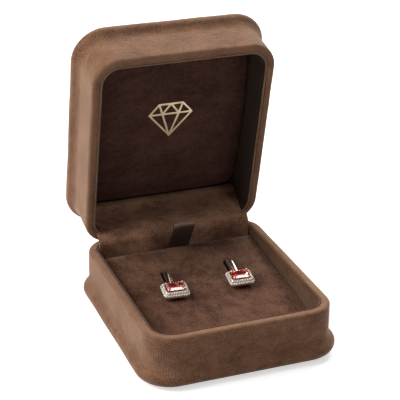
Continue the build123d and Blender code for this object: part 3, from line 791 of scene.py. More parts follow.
# %% Cloth of the lid
LID_HEIGHT = 24.25
PIN_INSET = 2.35
HINGE_HALF = 21.3
POCKET = 1.15
POCKET_REACH = 2 * POCKET + PIN_INSET
POCKET_TURN = math.radians(65)


def rolled_edge(points):
    """Draws the lower rear edge in onto a cylinder round the pin."""
    moved = points.copy()
    low = (points[:, 1] > PIN[1]) & (points[:, 2] < PIN[2])
    away = points[low][:, 1:] - PIN[1:]
    reach = np.linalg.norm(away, axis=1)
    inner = np.abs(points[low][:, 1] - (HALF_DEPTH - CLOTH)) < 0.05
    limit = np.where(inner, PIN_INSET - CLOTH, PIN_INSET)
    share = np.minimum(1.0, limit / np.maximum(reach, 1e-6))
    moved[low, 1:] = PIN[1:] + away * share[:, None]
    return moved


def prism(name, corners, low, high):
    """Cutter with corners in Y and Z between two places along X."""
    count = len(corners)
    points = [(x, y, z) for x in (low, high) for y, z in corners]
    faces = [list(range(count)), list(range(count, 2 * count))] + side_faces(0, count)
    return face_out(new_piece(name, points, faces, "card", smooth=False))


def hinge_pocket_cutter():
    """Room for the knuckles: a round bore and the gap in front of it."""
    turns = np.linspace(math.pi / 2, -POCKET_TURN, 12)
    corners = [(POCKET * math.cos(a), POCKET * math.sin(a)) for a in turns]
    corners += [
        (POCKET_REACH * math.cos(POCKET_TURN), -POCKET_REACH * math.sin(POCKET_TURN)),
        (-POCKET_REACH, -POCKET_REACH), (-POCKET_REACH, POCKET),
    ]
    return prism("pocket", [(PIN[1] + y, PIN[2] + z) for y, z in corners], -HINGE_HALF, HINGE_HALF)


lid_cloth = remake(outer_cloth("lid_cover_cloth", LID_HEIGHT, whole_top=True), turned_over)
remake(lid_cloth, rolled_edge)
cut_away(face_out(lid_cloth), hinge_pocket_cutter())
remake(lid_cloth, opened)
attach(lid_cloth, "lid")
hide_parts("lid_suede_cover")
print("lid cloth:", len(lid_cloth.data.polygons), "faces,", edges_that_gape(lid_cloth), "open edges")

# %% [markdown]
# Inside both trays stands a cloth covered card. Its rounded top edge sits a little lower
# than the rim and shows as the fine pale line that runs round the opening. In the lid that
# line is also a painted highlight, drawn in a paler cloth than the rest of the card. At the
# back it is cut out where the hinge passes.

# %% Lining cards
LINER_OUT = 3.25
LINER_IN = 4.05
LINER_SETBACK = 0.1
LINER_RIPPLE = (0.05, 9.0)


def lining_card(name, low, high, finish, edge_finish):
    """Card ring with a rounded top edge, which can take a finish of its own, such as a painted highlight.
    """
    half = (LINER_IN - LINER_OUT) / 2
    middle = (LINER_IN + LINER_OUT) / 2
    rise = np.linspace(low, high - half, 12)
    section = [(LINER_OUT, h) for h in rise[:-1]]
    section += arc((middle, high - half), half, 0, math.pi, 7)
    section += [(LINER_IN, h) for h in rise[:-1][::-1]]
    rings = []
    for s, z in section:
        ring = wall_outline.ring(s, z)
        rings.append(ripple(ring, wall_outline, *LINER_RIPPLE) if s > middle and z > low else ring)
    card = loft(name, rings, wall_outline.along, finish)
    card.data.materials.append(finishes[edge_finish])
    edge_rows = range(len(rise) - 1, len(rise) + 4)
    for face in card.data.polygons:
        if face.index // len(wall_outline.points) in edge_rows:
            face.material_index = 1
    return card


print("lining cards are", round(LINER_IN - LINER_OUT, 1), "mm thick")

# %% Linings of base and lid
FLOOR_TOP = 3.8
LID_CEILING = 41.35
NOTCH_FRONT = 36.85


def notch_cutter(low, high):
    """Room for the hinge at the back of a lining, between two heights."""
    corners = [(NOTCH_FRONT, low), (HALF_DEPTH, low), (HALF_DEPTH, high), (NOTCH_FRONT, high)]
    return prism("notch", corners, -HINGE_HALF, HINGE_HALF)


base_lining = lining_card(
    "base_lining_card", FLOOR_TOP, BASE_HEIGHT - LINER_SETBACK, "lining_suede", "lining_suede")
cut_away(base_lining, notch_cutter(0, 30))
# The lid's card is drawn nearly black, painted shade of its hollow, and its pale edge is a painted
# highlight.
lid_lining = lining_card(
    "lid_lining_card", CLOSED_HEIGHT - LID_CEILING, LID_HEIGHT - LINER_SETBACK, "lid_lining_suede",
    "edge_suede")
remake(lid_lining, turned_over)
cut_away(face_out(lid_lining), notch_cutter(18, 33.45))
remake(lid_lining, opened)
for lining, body, node in ((base_lining, "base", "base_liner"), (lid_lining, "lid", "lid_liner")):
    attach(lining, body)
    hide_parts(node)
print("linings:", edges_that_gape(base_lining), edges_that_gape(lid_lining), "open edges")

# %% [markdown]
# Two flat cloth pieces close the base: the covered card on its floor, and the felt that the
# box stands on. Both are thin slabs with softly rounded edges.

# %% Floor card and foot felt
def flat_slab(name, inset, low, high, finish, soft):
    """Slab with the box's outline and rounded upper and lower edges."""
    quarter = math.pi / 2
    section = arc((inset + soft, low + soft), soft, -quarter, 0, 4)
    section += arc((inset + soft, high - soft), soft, 0, quarter, 4)
    rings = [wall_outline.ring(s, z) for s, z in section]
    return loft(name, rings, wall_outline.along, finish, closed=False)


floor_card = flat_slab("floor_lining_card", LINER_OUT, 3.0, FLOOR_TOP, "lining_suede", 0.2)
foot_felt = flat_slab("foot_felt", 4.0, 0.0, 1.0, "foot_pad", 0.3)
for slab, node, slot in (
    (floor_card, "base_floor_lining", "lining_suede"), (foot_felt, "base_bottom_pad", "foot_pad"),
):
    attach(slab, "base")
    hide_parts(node)
print("flat slabs:", edges_that_gape(floor_card), edges_that_gape(foot_felt), "open edges")

# %% [markdown]
# A padded cover swells where foam pushes it and stays put where it is glued. So each pad
# starts a little too thin, is remeshed into even small squares, and is then blown up by a
# short cloth simulation with air pressure and no weight. The simulation runs eight times
# larger than life, because cloth this small hardly moves, and how far a point may go is
# capped.

# %% Even mesh
def even_mesh(piece, size):
    """Remeshes a closed piece into even faces of a size in millimetres."""
    remesh = piece.modifiers.new("even", "REMESH")
    remesh.mode = "VOXEL"
    remesh.voxel_size = size * MM
    remesh.use_smooth_shade = True
    return settle(piece)


print("pads are remeshed by voxels")

# %% Blow up a pad
LARGER = 8.0
PAD_FRAMES = 20


def blow_up(piece, pressure, most, glued):
    """Swells a pad by air pressure, each point by so many millimetres at most. glued picks
    the points that stay where they are."""
    start = points_of(piece.data)
    air = piece.copy()
    air.data = piece.data.copy()
    bpy.context.scene.collection.objects.link(air)
    air.data.vertices.foreach_set("co", (start * MM * LARGER).ravel())
    held = air.vertex_groups.new(name="held")
    held.add([int(n) for n in np.nonzero(glued(start))[0]], 1.0, "REPLACE")
    cloth = air.modifiers.new("air", "CLOTH")
    cloth.settings.use_pressure = True
    cloth.settings.uniform_pressure_force = pressure
    cloth.settings.vertex_group_mass = "held"
    cloth.settings.effector_weights.gravity = 0
    cloth.settings.quality = 5
    scene = bpy.context.scene
    for number in range(1, PAD_FRAMES + 1):
        scene.frame_set(number)
    graph = bpy.context.evaluated_depsgraph_get()
    swollen = points_of(air.evaluated_get(graph).data) / LARGER
    scene.frame_set(1)
    bpy.data.objects.remove(air)
    move = swollen - start
    length = np.linalg.norm(move, axis=1)
    share = np.minimum(1.0, most / np.maximum(length, 1e-9))
    remake(piece, lambda points: points + move * share[:, None])
    print(piece.name, "swelled by up to", round(float((length * share).max()), 2), "mm")


print("pads blow up over", PAD_FRAMES, "frames")

# %% [markdown]
# The lid's panel is dark cloth over foam on a card. Its face is crowned from back to front
# and a little from side to side, with a soft roll at its edge. The foam behind it is a pad
# of its own.

# %% Shape of the lid's panel
PANEL_HALF = 33.05
PANEL_FRONT = -38.9
PANEL_REAR = 34.7
PANEL_CORNER = 6.65
PANEL_BACK = 39.2
PANEL_EDGE = 37.1
PANEL_CROWN = 2.6
PANEL_SKIN = 0.9
SIDE_CROWN = 0.8
panel_outline = Outline(PANEL_HALF, PANEL_FRONT, PANEL_REAR, PANEL_CORNER, PANEL_CORNER)


def panel_level(x, y):
    """Height of the panel's face above the shut box's foot, its crown hanging down."""
    run = (y - (PANEL_REAR + PANEL_FRONT) / 2) / ((PANEL_REAR - PANEL_FRONT) / 2)
    return PANEL_EDGE - PANEL_CROWN * (1 - run ** 2) - SIDE_CROWN * (1 - (x / HALF_WIDTH) ** 2)


def crowned_pad(name, inset, lift, roll, finish, size):
    """Pad with a flat back and a crowned face, remeshed evenly."""
    quarter = math.pi / 2
    section = arc((inset + roll, 0), roll, 0, quarter, 6)
    rings = [panel_outline.ring(inset, PANEL_BACK)]
    for s, rise in section:
        ring = panel_outline.ring(s, 0)
        ring[:, 2] = panel_level(ring[:, 0], ring[:, 1]) + lift + roll - rise
        rings.append(ring)
    pad = even_mesh(loft(name, rings, panel_outline.along, finish, closed=False), size)

    def crown(points):
        moved = points.copy()
        face = points[:, 2] < PANEL_BACK - PANEL_SKIN
        deep = np.minimum(
            PANEL_HALF - np.abs(points[:, 0]),
            np.minimum(points[:, 1] - PANEL_FRONT, PANEL_REAR - points[:, 1]),
        )
        inside = face & (deep > inset + roll)
        moved[inside, 2] = panel_level(points[inside, 0], points[inside, 1]) + lift
        return moved

    return remake(pad, crown)


print("panel", 2 * PANEL_HALF, "by", round(PANEL_REAR - PANEL_FRONT, 1), "mm")

# %% The panel's foam and cover
PANEL_GLUED = 1.0

panel_foam = crowned_pad("panel_foam", inset=1.0, lift=0.8, roll=0.5, finish="foam", size=1.3)
remake(panel_foam, opened)
panel_pad = crowned_pad(
    "panel_cover_pad", inset=0.0, lift=0.35, roll=0.9, finish="panel_suede", size=0.6)
blow_up(
    panel_pad, pressure=4.0, most=0.35, glued=lambda points: points[:, 2] > PANEL_BACK - PANEL_GLUED)
panel_face = BVHTree.FromPolygons(
    [Vector(p) for p in points_of(panel_pad.data)], [list(f.vertices) for f in panel_pad.data.polygons])
remake(panel_pad, opened)
for pad, node, slot in (
    (panel_pad, "lid_panel_cover", "panel_suede"), (panel_foam, "lid_panel_foam", "foam"),
):
    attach(pad, "lid")
    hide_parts(node)
print("panel pad:", len(panel_pad.data.polygons), "faces,", edges_that_gape(panel_pad), "open edges")

# %% [markdown]
# The ornament on the panel is a cut gem in even strokes of pressed foil. The strokes are
# joined into one skin by a fine remesh, so that no edges cross where they meet. They are
# drawn three times too thick, because the remesh would lose a foil's real thickness, and
# each point is then laid on the panel's face with a ray and pressed flat.

# %% Strokes of the gem
FOIL_STROKE = 0.8
FOIL_RISE = 0.14
FOIL_GRID = 0.14
DRAWN_THICKER = 3
GEM_TOP = 7.5
GEM_GIRDLE = 2.9
GEM_HALF = 9.0
GEM_TABLE = 5.0
GEM_FACET = 3.5
gem_lines = [
    ((-GEM_TABLE, GEM_TOP), (GEM_TABLE, GEM_TOP)),
    ((-GEM_HALF, GEM_GIRDLE), (GEM_HALF, GEM_GIRDLE)),
]
for side in (-1, 1):
    gem_lines += [
        ((side * GEM_TABLE, GEM_TOP), (side * GEM_HALF, GEM_GIRDLE)),
        ((side * GEM_HALF, GEM_GIRDLE), (0, -GEM_TOP)),
        ((side * GEM_TABLE, GEM_TOP), (side * GEM_FACET, GEM_GIRDLE)),
        ((0, GEM_TOP), (side * GEM_FACET, GEM_GIRDLE)),
        ((side * GEM_FACET, GEM_GIRDLE), (0, -GEM_TOP)),
    ]


def stroke(start, end, rise):
    """Lower and upper ring of a stroke with round ends between two places."""
    start, end = np.array(start, float), np.array(end, float)
    run = math.atan2(end[1] - start[1], end[0] - start[0])
    edge = []
    for centre, turn in ((end, run - math.pi / 2), (start, run + math.pi / 2)):
        for angle in np.linspace(turn, turn + math.pi, 9):
            edge.append(centre + FOIL_STROKE / 2 * np.array([math.cos(angle), math.sin(angle)]))
    return [np.column_stack([edge, np.full(len(edge), height)]) for height in (-rise, rise)]


points, faces = [], []
for start, end in gem_lines:
    low_ring, high_ring = stroke(start, end, DRAWN_THICKER * FOIL_RISE)
    first, count = len(points), len(low_ring)
    points += [*low_ring, *high_ring]
    faces += [list(range(first, first + count))[::-1], list(range(first + count, first + 2 * count))]
    faces += side_faces(first, count)
foil = even_mesh(new_piece("foil_gem", points, faces, "gold_foil"), FOIL_GRID)
print("gem of", len(gem_lines), "strokes")

# %% Foil gem on the panel
FOIL_CENTRE = -5.0
PRESSED_TO = 0.8 / DRAWN_THICKER


def pressed_on_panel(points):
    """Lays the strokes on the shut lid's panel, standing a little proud of it."""
    pressed = points.copy()
    for number, (x, y, z) in enumerate(points):
        y_there = FOIL_CENTRE - y
        hit = panel_face.ray_cast(Vector((x, y_there, 0)), Vector((0, 0, 1)))[0]
        pressed[number] = (x, y_there, hit.z - z * PRESSED_TO)
    return pressed


remake(foil, pressed_on_panel)
remake(face_out(foil), opened)
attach(foil, "lid")
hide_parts("lid_foil_ornament")
print("foil:", len(foil.data.polygons), "faces,", edges_that_gape(foil), "open edges")

# %% [markdown]
# The insert is a card platform with a foam cushion under suede. Its face slopes down to the
# front. Two slits take the backs of the earrings, and the cloth dips a little at their lips
# because it is pushed in there.

# %% The cushion's plan and its slits
FACE_HEIGHT = 15.0
SLOPE = math.tan(math.radians(5.86))
CUSHION_HALF = 33.15
CUSHION_FRONT = -39.0
CUSHION_REAR = 32.4
CUSHION_CORNER = 6.75
REAR_CORNER = 1.5
CUSHION_DEPTH = 4.8
EARRINGS = {"earring_left": (-13.4, -2.4, -4.5), "earring_right": (14.3, -1.6, -3.0)}
SLIT_WIDTH = 2.9
SLIT_FRONT = 0.4
SLIT_REAR = 17.9
cushion_outline = Outline(CUSHION_HALF, CUSHION_FRONT, CUSHION_REAR, CUSHION_CORNER, REAR_CORNER)


def slit_outline(owner, widen):
    """Places round one slit's outline, which has round ends, widened on all sides."""
    x, y, yaw = EARRINGS[owner]
    half = SLIT_WIDTH / 2 + widen
    flat = []
    for centre, start in ((SLIT_REAR - SLIT_WIDTH / 2, 0), (SLIT_FRONT + SLIT_WIDTH / 2, math.pi)):
        for angle in np.linspace(start, start + math.pi, 9):
            flat.append((half * math.cos(angle), centre + half * math.sin(angle)))
    turn = math.radians(yaw)
    return [
        (x + px * math.cos(turn) - py * math.sin(turn), y + px * math.sin(turn) + py * math.cos(turn))
        for px, py in flat
    ]


def slit_cutter(owner, widen):
    """Upright cutter through the cushion."""
    edge = slit_outline(owner, widen)
    count = len(edge)
    points = [(x, y, z) for z in (0, 40) for x, y in edge]
    faces = [list(range(count))[::-1], list(range(count, 2 * count))] + side_faces(0, count)
    return face_out(new_piece("slit", points, faces, "card", smooth=False))


def from_slit(points, owner):
    """Distance of each place in plan from one slit's outline."""
    x, y, yaw = EARRINGS[owner]
    turn = math.radians(yaw)
    dx, dy = points[:, 0] - x, points[:, 1] - y
    across = dx * math.cos(turn) + dy * math.sin(turn)
    along = -dx * math.sin(turn) + dy * math.cos(turn)
    half = SLIT_WIDTH / 2
    nearest = np.clip(along, SLIT_FRONT + half, SLIT_REAR - half)
    return np.hypot(across, along - nearest) - half


print("slits", SLIT_REAR - SLIT_FRONT, "mm long")

# %% A pad with a sloping face
def sloped_pad(name, inset, top, bottom, roll, finish, size):
    """Pad with the insert's outline between two levels measured from its sloping face."""
    quarter = math.pi / 2
    section = [(inset, bottom), (inset, (top + bottom) / 2)]
    section += arc((inset + roll, top - roll), roll, 0, quarter, 6)
    rings = []
    for s, z in section:
        ring = cushion_outline.ring(s, 0)
        ring[:, 2] = FACE_HEIGHT + ring[:, 1] * SLOPE + z
        rings.append(ring)
    return even_mesh(loft(name, rings, cushion_outline.along, finish, closed=False), size)


def face_offset(points):
    """How far each point lies above the insert's sloping face."""
    return points[:, 2] - FACE_HEIGHT - points[:, 1] * SLOPE


print("the cushion falls", round(SLOPE * (CUSHION_REAR - CUSHION_FRONT), 1), "mm to the front")

# %% The cushion and its foam
DENT_DEPTH = 0.16
DENT_SIZE = 11.0
SKIN_DEPTH = 0.9
GLUED_DEPTH = 1.2
LIP_DIP = 0.45
LIP_WIDTH = 0.9

cushion = sloped_pad(
    "cushion_cover_pad", inset=0.0, top=-0.25, bottom=-CUSHION_DEPTH, roll=0.8,
    finish="cushion_suede", size=0.55)
blow_up(cushion, pressure=3.0, most=0.25, glued=lambda points: face_offset(points) < -GLUED_DEPTH)


def worn_cushion(points):
    """Soft dents, and lips that dip at the slits."""
    moved = points.copy()
    top = face_offset(points) > -SKIN_DEPTH
    for number in np.nonzero(top)[0]:
        x, y, z = points[number]
        dent = noise.noise(Vector((x, y, 3.0)) / DENT_SIZE) * DENT_DEPTH
        moved[number, 2] += dent - DENT_DEPTH / 2
    for owner in EARRINGS:
        gap = np.maximum(from_slit(points, owner), 0)
        moved[top, 2] -= (LIP_DIP * np.exp(-(gap / LIP_WIDTH) ** 2))[top]
    return moved


remake(cushion, worn_cushion)
cut_away(face_out(cushion), *[slit_cutter(owner, 0.0) for owner in EARRINGS])
cushion_foam = sloped_pad(
    "cushion_foam", inset=0.9, top=-1.0, bottom=-CUSHION_DEPTH + 0.05, roll=0.4, finish="foam",
    size=1.2)
cut_away(cushion_foam, *[slit_cutter(owner, 0.4) for owner in EARRINGS])
for pad, node, slot in (
    (cushion, "insert_suede_cover", "lining_suede"), (cushion_foam, "insert_foam", "foam"),
):
    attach(pad, "insert")
    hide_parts(node)
print("cushion:", len(cushion.data.polygons), "faces,", edges_that_gape(cushion), "open edges")

# %% [markdown]
# Two pieces are strips of cloth: the pull ribbon and the curtain over the hinge. A strip is
# rows of points with a skin over them. Its cloth map is its flat size, Solidify gives it its
# thickness, and one subdivision smooths it.

# %% Strips of cloth
def lengths_along(line):
    """How far along a line each of its places is."""
    return np.concatenate([[0], np.cumsum(np.linalg.norm(np.diff(line, axis=0), axis=1))])


def strip(name, points, lengths, columns, width, finish, thickness):
    """Strip of cloth over rows of points, as far along it as lengths says."""
    faces, corner_map = [], []
    for row in range(len(lengths) - 1):
        for column in range(columns - 1):
            first = row * columns + column
            faces.append([first, first + 1, first + columns + 1, first + columns])
            for r, c in ((row, column), (row, column + 1), (row + 1, column + 1), (row + 1, column)):
                corner_map.append((c / (columns - 1) * width, lengths[r]))
    piece = new_piece(name, points, faces, finish, corner_map)
    thick = piece.modifiers.new("thickness", "SOLIDIFY")
    thick.thickness = thickness * MM
    thick.offset = 0
    finer = piece.modifiers.new("finer", "SUBSURF")
    finer.levels = finer.render_levels = 1
    return face_out(settle(piece))


print("strips are smoothed once")

# %% [markdown]
# The ribbon is folded over at its top, stands up behind the cushion and leans forward. It is
# one strip: up the front leaf, over the fold and down the rear leaf, cupped a little across
# its width.

# %% Pull ribbon
RIBBON_WIDTH = 9.2
RIBBON_CENTRE = 1.0
RIBBON_LEAN = math.radians(32)
RIBBON_LENGTH = 13.7
RIBBON_TAIL = 6.0
LOOP_RADIUS = 1.0
LEAF_APART = 0.52
RIBBON_COLUMNS = 13
RIBBON_CUP = 0.5
RIBBON_TWIST = 0.35
ribbon_foot = np.array([CUSHION_REAR + 0.2, FACE_HEIGHT + CUSHION_REAR * SLOPE + 0.2])


def ribbon_line():
    """Middle line of the folded ribbon, as Y and Z."""
    lean = np.array([-math.sin(RIBBON_LEAN), math.cos(RIBBON_LEAN)])
    front = [ribbon_foot - (0, RIBBON_TAIL * share) for share in (1, 0.7, 0.4, 0.15)]
    for share in (0.05, 0.18, 0.35, 0.55, 0.72, 0.84):
        front.append(ribbon_foot + lean * RIBBON_LENGTH * share)
    aside = np.array([lean[1], -lean[0]])
    top = ribbon_foot + lean * (RIBBON_LENGTH - LOOP_RADIUS) + aside * LOOP_RADIUS
    fold = []
    for angle in np.linspace(0.1, math.pi + 0.6, 12):
        fold.append(top - aside * math.cos(angle) * LOOP_RADIUS + lean * math.sin(angle) * LOOP_RADIUS)
    rear = [place + aside * LEAF_APART for place in front[::-1]]
    for place in rear[-4:]:
        place[0] = ribbon_foot[0] + LEAF_APART
    return np.array(front + fold + rear)


line = ribbon_line()
lengths = lengths_along(line)
points = []
for y, z in line:
    rise = max(0.0, (z - ribbon_foot[1]) / RIBBON_LENGTH)
    for across in np.linspace(-1, 1, RIBBON_COLUMNS):
        cup = RIBBON_CUP * (1 - across ** 2) * rise
        twist = RIBBON_TWIST * across * rise
        x = RIBBON_CENTRE + across * RIBBON_WIDTH / 2 * (1 + 0.01 * rise)
        points.append((x, y + cup * math.cos(RIBBON_LEAN) + twist, z + cup * math.sin(RIBBON_LEAN)))
ribbon = strip("pull_ribbon", points, lengths, RIBBON_COLUMNS, RIBBON_WIDTH, "ribbon", 0.26)
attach(ribbon, "insert")
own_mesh(ribbon)
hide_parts("insert_pull_tab")
print("ribbon", round(lengths[-1], 1), "mm long,", edges_that_gape(ribbon), "open edges")

# %% [markdown]
# A loose curtain of suede hides the hinge. It hangs behind the cushion, bends over towards
# the lid and tucks in under the panel's edge. Wide soft folds run down it, deepest in the
# middle and flat where it is held, and under the panel it puckers into an uneven lip with a
# groove below. It crosses the hinge.

# %% Line of the curtain
CURTAIN_HALF = 32.85
CURTAIN_MID = 34.3
CURTAIN_BEND = 25.0
BEND_RADIUS = 4.5
tuck = opened([(0, 35.7, 38.4)])[0][1:]
bottom_end = np.array([CURTAIN_MID, 3.9])
knee = np.array([CURTAIN_MID, CURTAIN_BEND])


def rounded_run(start, corner, end, radius, step):
    """Two straight runs with an arc between them, as evenly spaced points."""
    into = (corner - start) / np.linalg.norm(corner - start)
    out = (end - corner) / np.linalg.norm(end - corner)
    turn = math.acos(float(into @ out))
    trim = radius * math.tan(turn / 2)
    side = out - into * float(into @ out)
    side /= np.linalg.norm(side)
    centre = corner - into * trim + side * radius
    bend = [
        centre - side * radius * math.cos(a) + into * radius * math.sin(a)
        for a in np.linspace(0, turn, 7)
    ]
    first = np.linspace(0, 1, max(2, int(np.linalg.norm(corner - start) / step)))
    last = np.linspace(0, 1, max(2, int(np.linalg.norm(end - corner) / step)))
    run_in = [start + (bend[0] - start) * share for share in first[:-1]]
    run_out = [bend[-1] + (end - bend[-1]) * share for share in last[1:]]
    return np.array(run_in + bend + run_out)


curtain_line = rounded_run(bottom_end, knee, tuck, BEND_RADIUS, 1.1)
down = lengths_along(curtain_line)
tangents = np.gradient(curtain_line, axis=0)
tangents /= np.linalg.norm(tangents, axis=1)[:, None]
print("curtain line of", len(curtain_line), "places")

# %% Folds, lip and groove of the curtain
FOLD_DEPTH = 0.42
FOLDS = 5
CREASE_DEPTH = 0.30
LIP_SHARE = 0.92
LIP_WIDTH_SHARE = 0.035
GROOVE_SHARE = 0.8
GROOVE_WIDTH_SHARE = 0.05


def bell(away, width):
    """1 at the middle and soon 0 a few widths away from it."""
    return math.exp(-(away / width) ** 2)


def curtain_shift(x, length, share):
    """How far the cloth stands out from its line, by its folds, slack, lip and groove."""
    free = math.sin(math.pi * min(1.0, share * 1.02)) ** 0.7
    fold = FOLD_DEPTH * math.cos(FOLDS * math.pi * x / CURTAIN_HALF / 2 + 0.35 * share)
    crease = CREASE_DEPTH * noise.noise(Vector((x / 7.5, length / 16.0, 5.0)))
    slack = 0.9 * bell(x + 8 + 5 * (1 - share), 4.5)
    pucker = bell(x + 12, 7)
    uneven = 0.35 + 0.6 * noise.noise(Vector((x / 6.0, 0, 9.0)))
    lip = (uneven + 0.8 * pucker) * bell(share - LIP_SHARE, LIP_WIDTH_SHARE)
    groove = 0.9 * pucker * bell(share - GROOVE_SHARE, GROOVE_WIDTH_SHARE)
    return (fold + crease - slack) * free - lip + groove


print(FOLDS, "folds down the cloth")

# %% Hinge curtain
CURTAIN_COLUMNS = 81
# The cloth map is zero at the lip, where the curtain's painted highlight lies.
lip_highlight_line = LIP_SHARE * down[-1]
points = []
for row, (y, z) in enumerate(curtain_line):
    share = down[row] / down[-1]
    out_y, out_z = tangents[row][1], -tangents[row][0]
    narrow = 1 - 0.012 * max(0.0, share - 0.5)
    for across in np.linspace(-1, 1, CURTAIN_COLUMNS):
        x = across * CURTAIN_HALF
        shift = curtain_shift(x, down[row], share)
        points.append((x * narrow, y + out_y * shift, z + out_z * shift))
curtain = strip(
    "curtain_cloth", points, down - lip_highlight_line, CURTAIN_COLUMNS, 2 * CURTAIN_HALF, "curtain_suede", 0.5)
tuck[0] * MM
tuck[1] * MM
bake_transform(curtain)
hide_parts("hinge_curtain")
print("curtain", round(float(down[-1]), 1), "mm long,", edges_that_gape(curtain), "open edges")

# %% [markdown]
# Each earring is drawn flat, in millimetres, with the wearer's up along +Y and its face
# along +Z, and then laid on the cushion with one matrix, turned and tipped as it lies.

# %% Where the earrings lie
EARRING_HEIGHT = 2.5
EARRING_TILT = math.radians(10)


def earring_matrix(owner):
    """From an earring's own millimetres to its place on the cushion."""
    x, y, yaw = EARRINGS[owner]
    place = Vector((x, y, FACE_HEIGHT + y * SLOPE + EARRING_HEIGHT))
    turn = Euler((0, 0, math.radians(yaw))).to_matrix().to_4x4()
    tip = Euler((EARRING_TILT, 0, 0)).to_matrix().to_4x4()
    return Matrix.Scale(MM, 4) @ Matrix.Translation(place) @ turn @ tip


def joined(name, parts, finish, smooth=True):
    """One piece from several lists of points and faces, in an earring's own millimetres."""
    points, faces = [], []
    for part_points, part_faces in parts:
        first = len(points)
        points += [tuple(p) for p in part_points]
        faces += [[first + n for n in face] for face in part_faces]
    return face_out(new_piece(name, points, faces, finish, smooth=smooth))


def laid(piece, owner, slot, node=None):
    """Puts a piece drawn in an earring's own millimetres in its place. It may stand for a
    CAD node of that earring."""
    piece.data.transform(earring_matrix(owner) @ Matrix.Scale(1 / MM, 4))
    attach(piece, owner)
    if node:
        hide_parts(f"{owner}_{node}")


def ring_skin(rings, closed=False):
    """Points and faces of a skin over rings, a tube or capped at both ends."""
    points = [tuple(p) for ring in rings for p in ring]
    return points, skin_faces(len(rings), len(rings[0]), closed)


print("earrings lie at", {owner: place[:2] for owner, place in EARRINGS.items()})

# %% [markdown]
# The centre stone is an emerald cut: an oblong with cut corners, stepped in toward a flat
# table above and a narrow keel below. Each step is a ring of eight corners. The facets stay
# flat shaded, because each is a mirror of its own.

# %% Centre stones
STONE_WIDTH = 7.2
STONE_DEPTH = 4.75
CUT_CORNER = 0.9
stone_steps = [
    (2.2, 0.6, 0.15, -1.2), (4.3, 2.05, 0.4, -0.35), (6.0, 3.6, 0.68, 0.65),
    (STONE_WIDTH, STONE_DEPTH, CUT_CORNER, 1.6), (STONE_WIDTH, STONE_DEPTH, CUT_CORNER, 1.95),
    (5.6, 3.1, 0.72, 2.56), (4.7, 2.3, 0.52, 2.70),
]


def cut_oblong(width, depth, corner, height):
    """Ring of eight corners of an oblong with cut corners."""
    x, y = width / 2, depth / 2
    flat = [
        (x, -y + corner), (x, y - corner), (x - corner, y), (-x + corner, y),
        (-x, y - corner), (-x, -y + corner), (-x + corner, -y), (x - corner, -y),
    ]
    return [(px, py, height) for px, py in flat]


for owner in EARRINGS:
    skin = ring_skin([cut_oblong(*step) for step in stone_steps])
    stone = joined(f"{owner}_emerald_cut", [skin], "garnet", smooth=False)
    laid(stone, owner, "garnet", "centre_stone")
print("stones of", len(stone.data.polygons), "facets")

# %% [markdown]
# The setting is a cast frame: a thin wall, a bevel that carries the small stones, a lip
# round the centre stone and a basket below it. Four claws hold the stone by its corners,
# and two lugs carry the lever. Rings of a rounded oblong make the frame, and the claws are
# tapered pegs that lean in over the stone.

# %% Frame and basket of a setting
HALO_WIDTH = 10.7
HALO_DEPTH = 8.4
HALO_CORNER = 1.4
HALO_RISE = 1.5
HALO_WALL = 0.7
BEVEL_WIDTH = 8.1
BEVEL_DEPTH = 5.65
HOLE = (6.0, 3.55, 0.35)
BED_ROWS = range(4, 10)


def oblong(width, depth, corner, height, arc_steps=7, run_steps=8):
    """Ring of points round an oblong with round corners."""
    ring = []
    x, y = width / 2 - corner, depth / 2 - corner
    centres = [(x, y, 0), (-x, y, 90), (-x, -y, 180), (x, -y, 270)]
    for number, (cx, cy, start) in enumerate(centres):
        for turn in range(arc_steps + 1):
            angle = math.radians(start + 90 * turn / arc_steps)
            ring.append(np.array([cx + corner * math.cos(angle), cy + corner * math.sin(angle), height]))
        after = centres[(number + 1) % 4]
        angle = math.radians(after[2])
        end = np.array([after[0] + corner * math.cos(angle), after[1] + corner * math.sin(angle), height])
        last = ring[-1]
        ring += [last + (end - last) * share / run_steps for share in range(1, run_steps)]
    return ring


def frame_rings():
    """Closed section of the halo frame, from under its wall, up the bevel and down inside."""
    return [
        oblong(HALO_WIDTH - 0.3, HALO_DEPTH - 0.3, HALO_CORNER - 0.15, -HALO_WALL),
        oblong(HALO_WIDTH - 0.06, HALO_DEPTH - 0.06, HALO_CORNER - 0.03, -HALO_WALL + 0.06),
        oblong(HALO_WIDTH, HALO_DEPTH, HALO_CORNER, -HALO_WALL + 0.2),
        oblong(HALO_WIDTH, HALO_DEPTH, HALO_CORNER, -0.12),
        oblong(HALO_WIDTH - 0.08, HALO_DEPTH - 0.08, HALO_CORNER - 0.04, 0.02),
        oblong(HALO_WIDTH - 0.9, HALO_DEPTH - 0.95, HALO_CORNER - 0.24, 0.5),
        oblong(HALO_WIDTH - 1.8, HALO_DEPTH - 1.9, HALO_CORNER - 0.48, 1.02),
        oblong(BEVEL_WIDTH + 0.1, BEVEL_DEPTH + 0.1, 0.72, HALO_RISE - 0.05),
        oblong(BEVEL_WIDTH - 0.08, BEVEL_DEPTH - 0.08, 0.68, HALO_RISE),
        oblong(7.5, 5.05, 0.6, HALO_RISE),
        oblong(7.38, 4.93, 0.55, HALO_RISE - 0.1),
        oblong(7.32, 4.87, 0.5, 0.62),
        oblong(HOLE[0] + 0.1, HOLE[1] + 0.1, HOLE[2], 0.6),
        oblong(*HOLE, 0.45),
        oblong(*HOLE, -HALO_WALL),
    ]


def basket_rings():
    """Thin basket under the frame that the stone hangs in."""
    low = -HALO_WALL - 0.8
    return [
        oblong(7.4, 4.95, 0.7, -HALO_WALL + 0.05), oblong(7.4, 4.95, 0.7, low + 0.12),
        oblong(7.28, 4.83, 0.64, low), oblong(6.1, 3.65, 0.4, low),
        oblong(*HOLE, low + 0.1), oblong(*HOLE, -HALO_WALL + 0.05),
    ]


print("frame of", len(frame_rings()), "rings, basket of", len(basket_rings()))

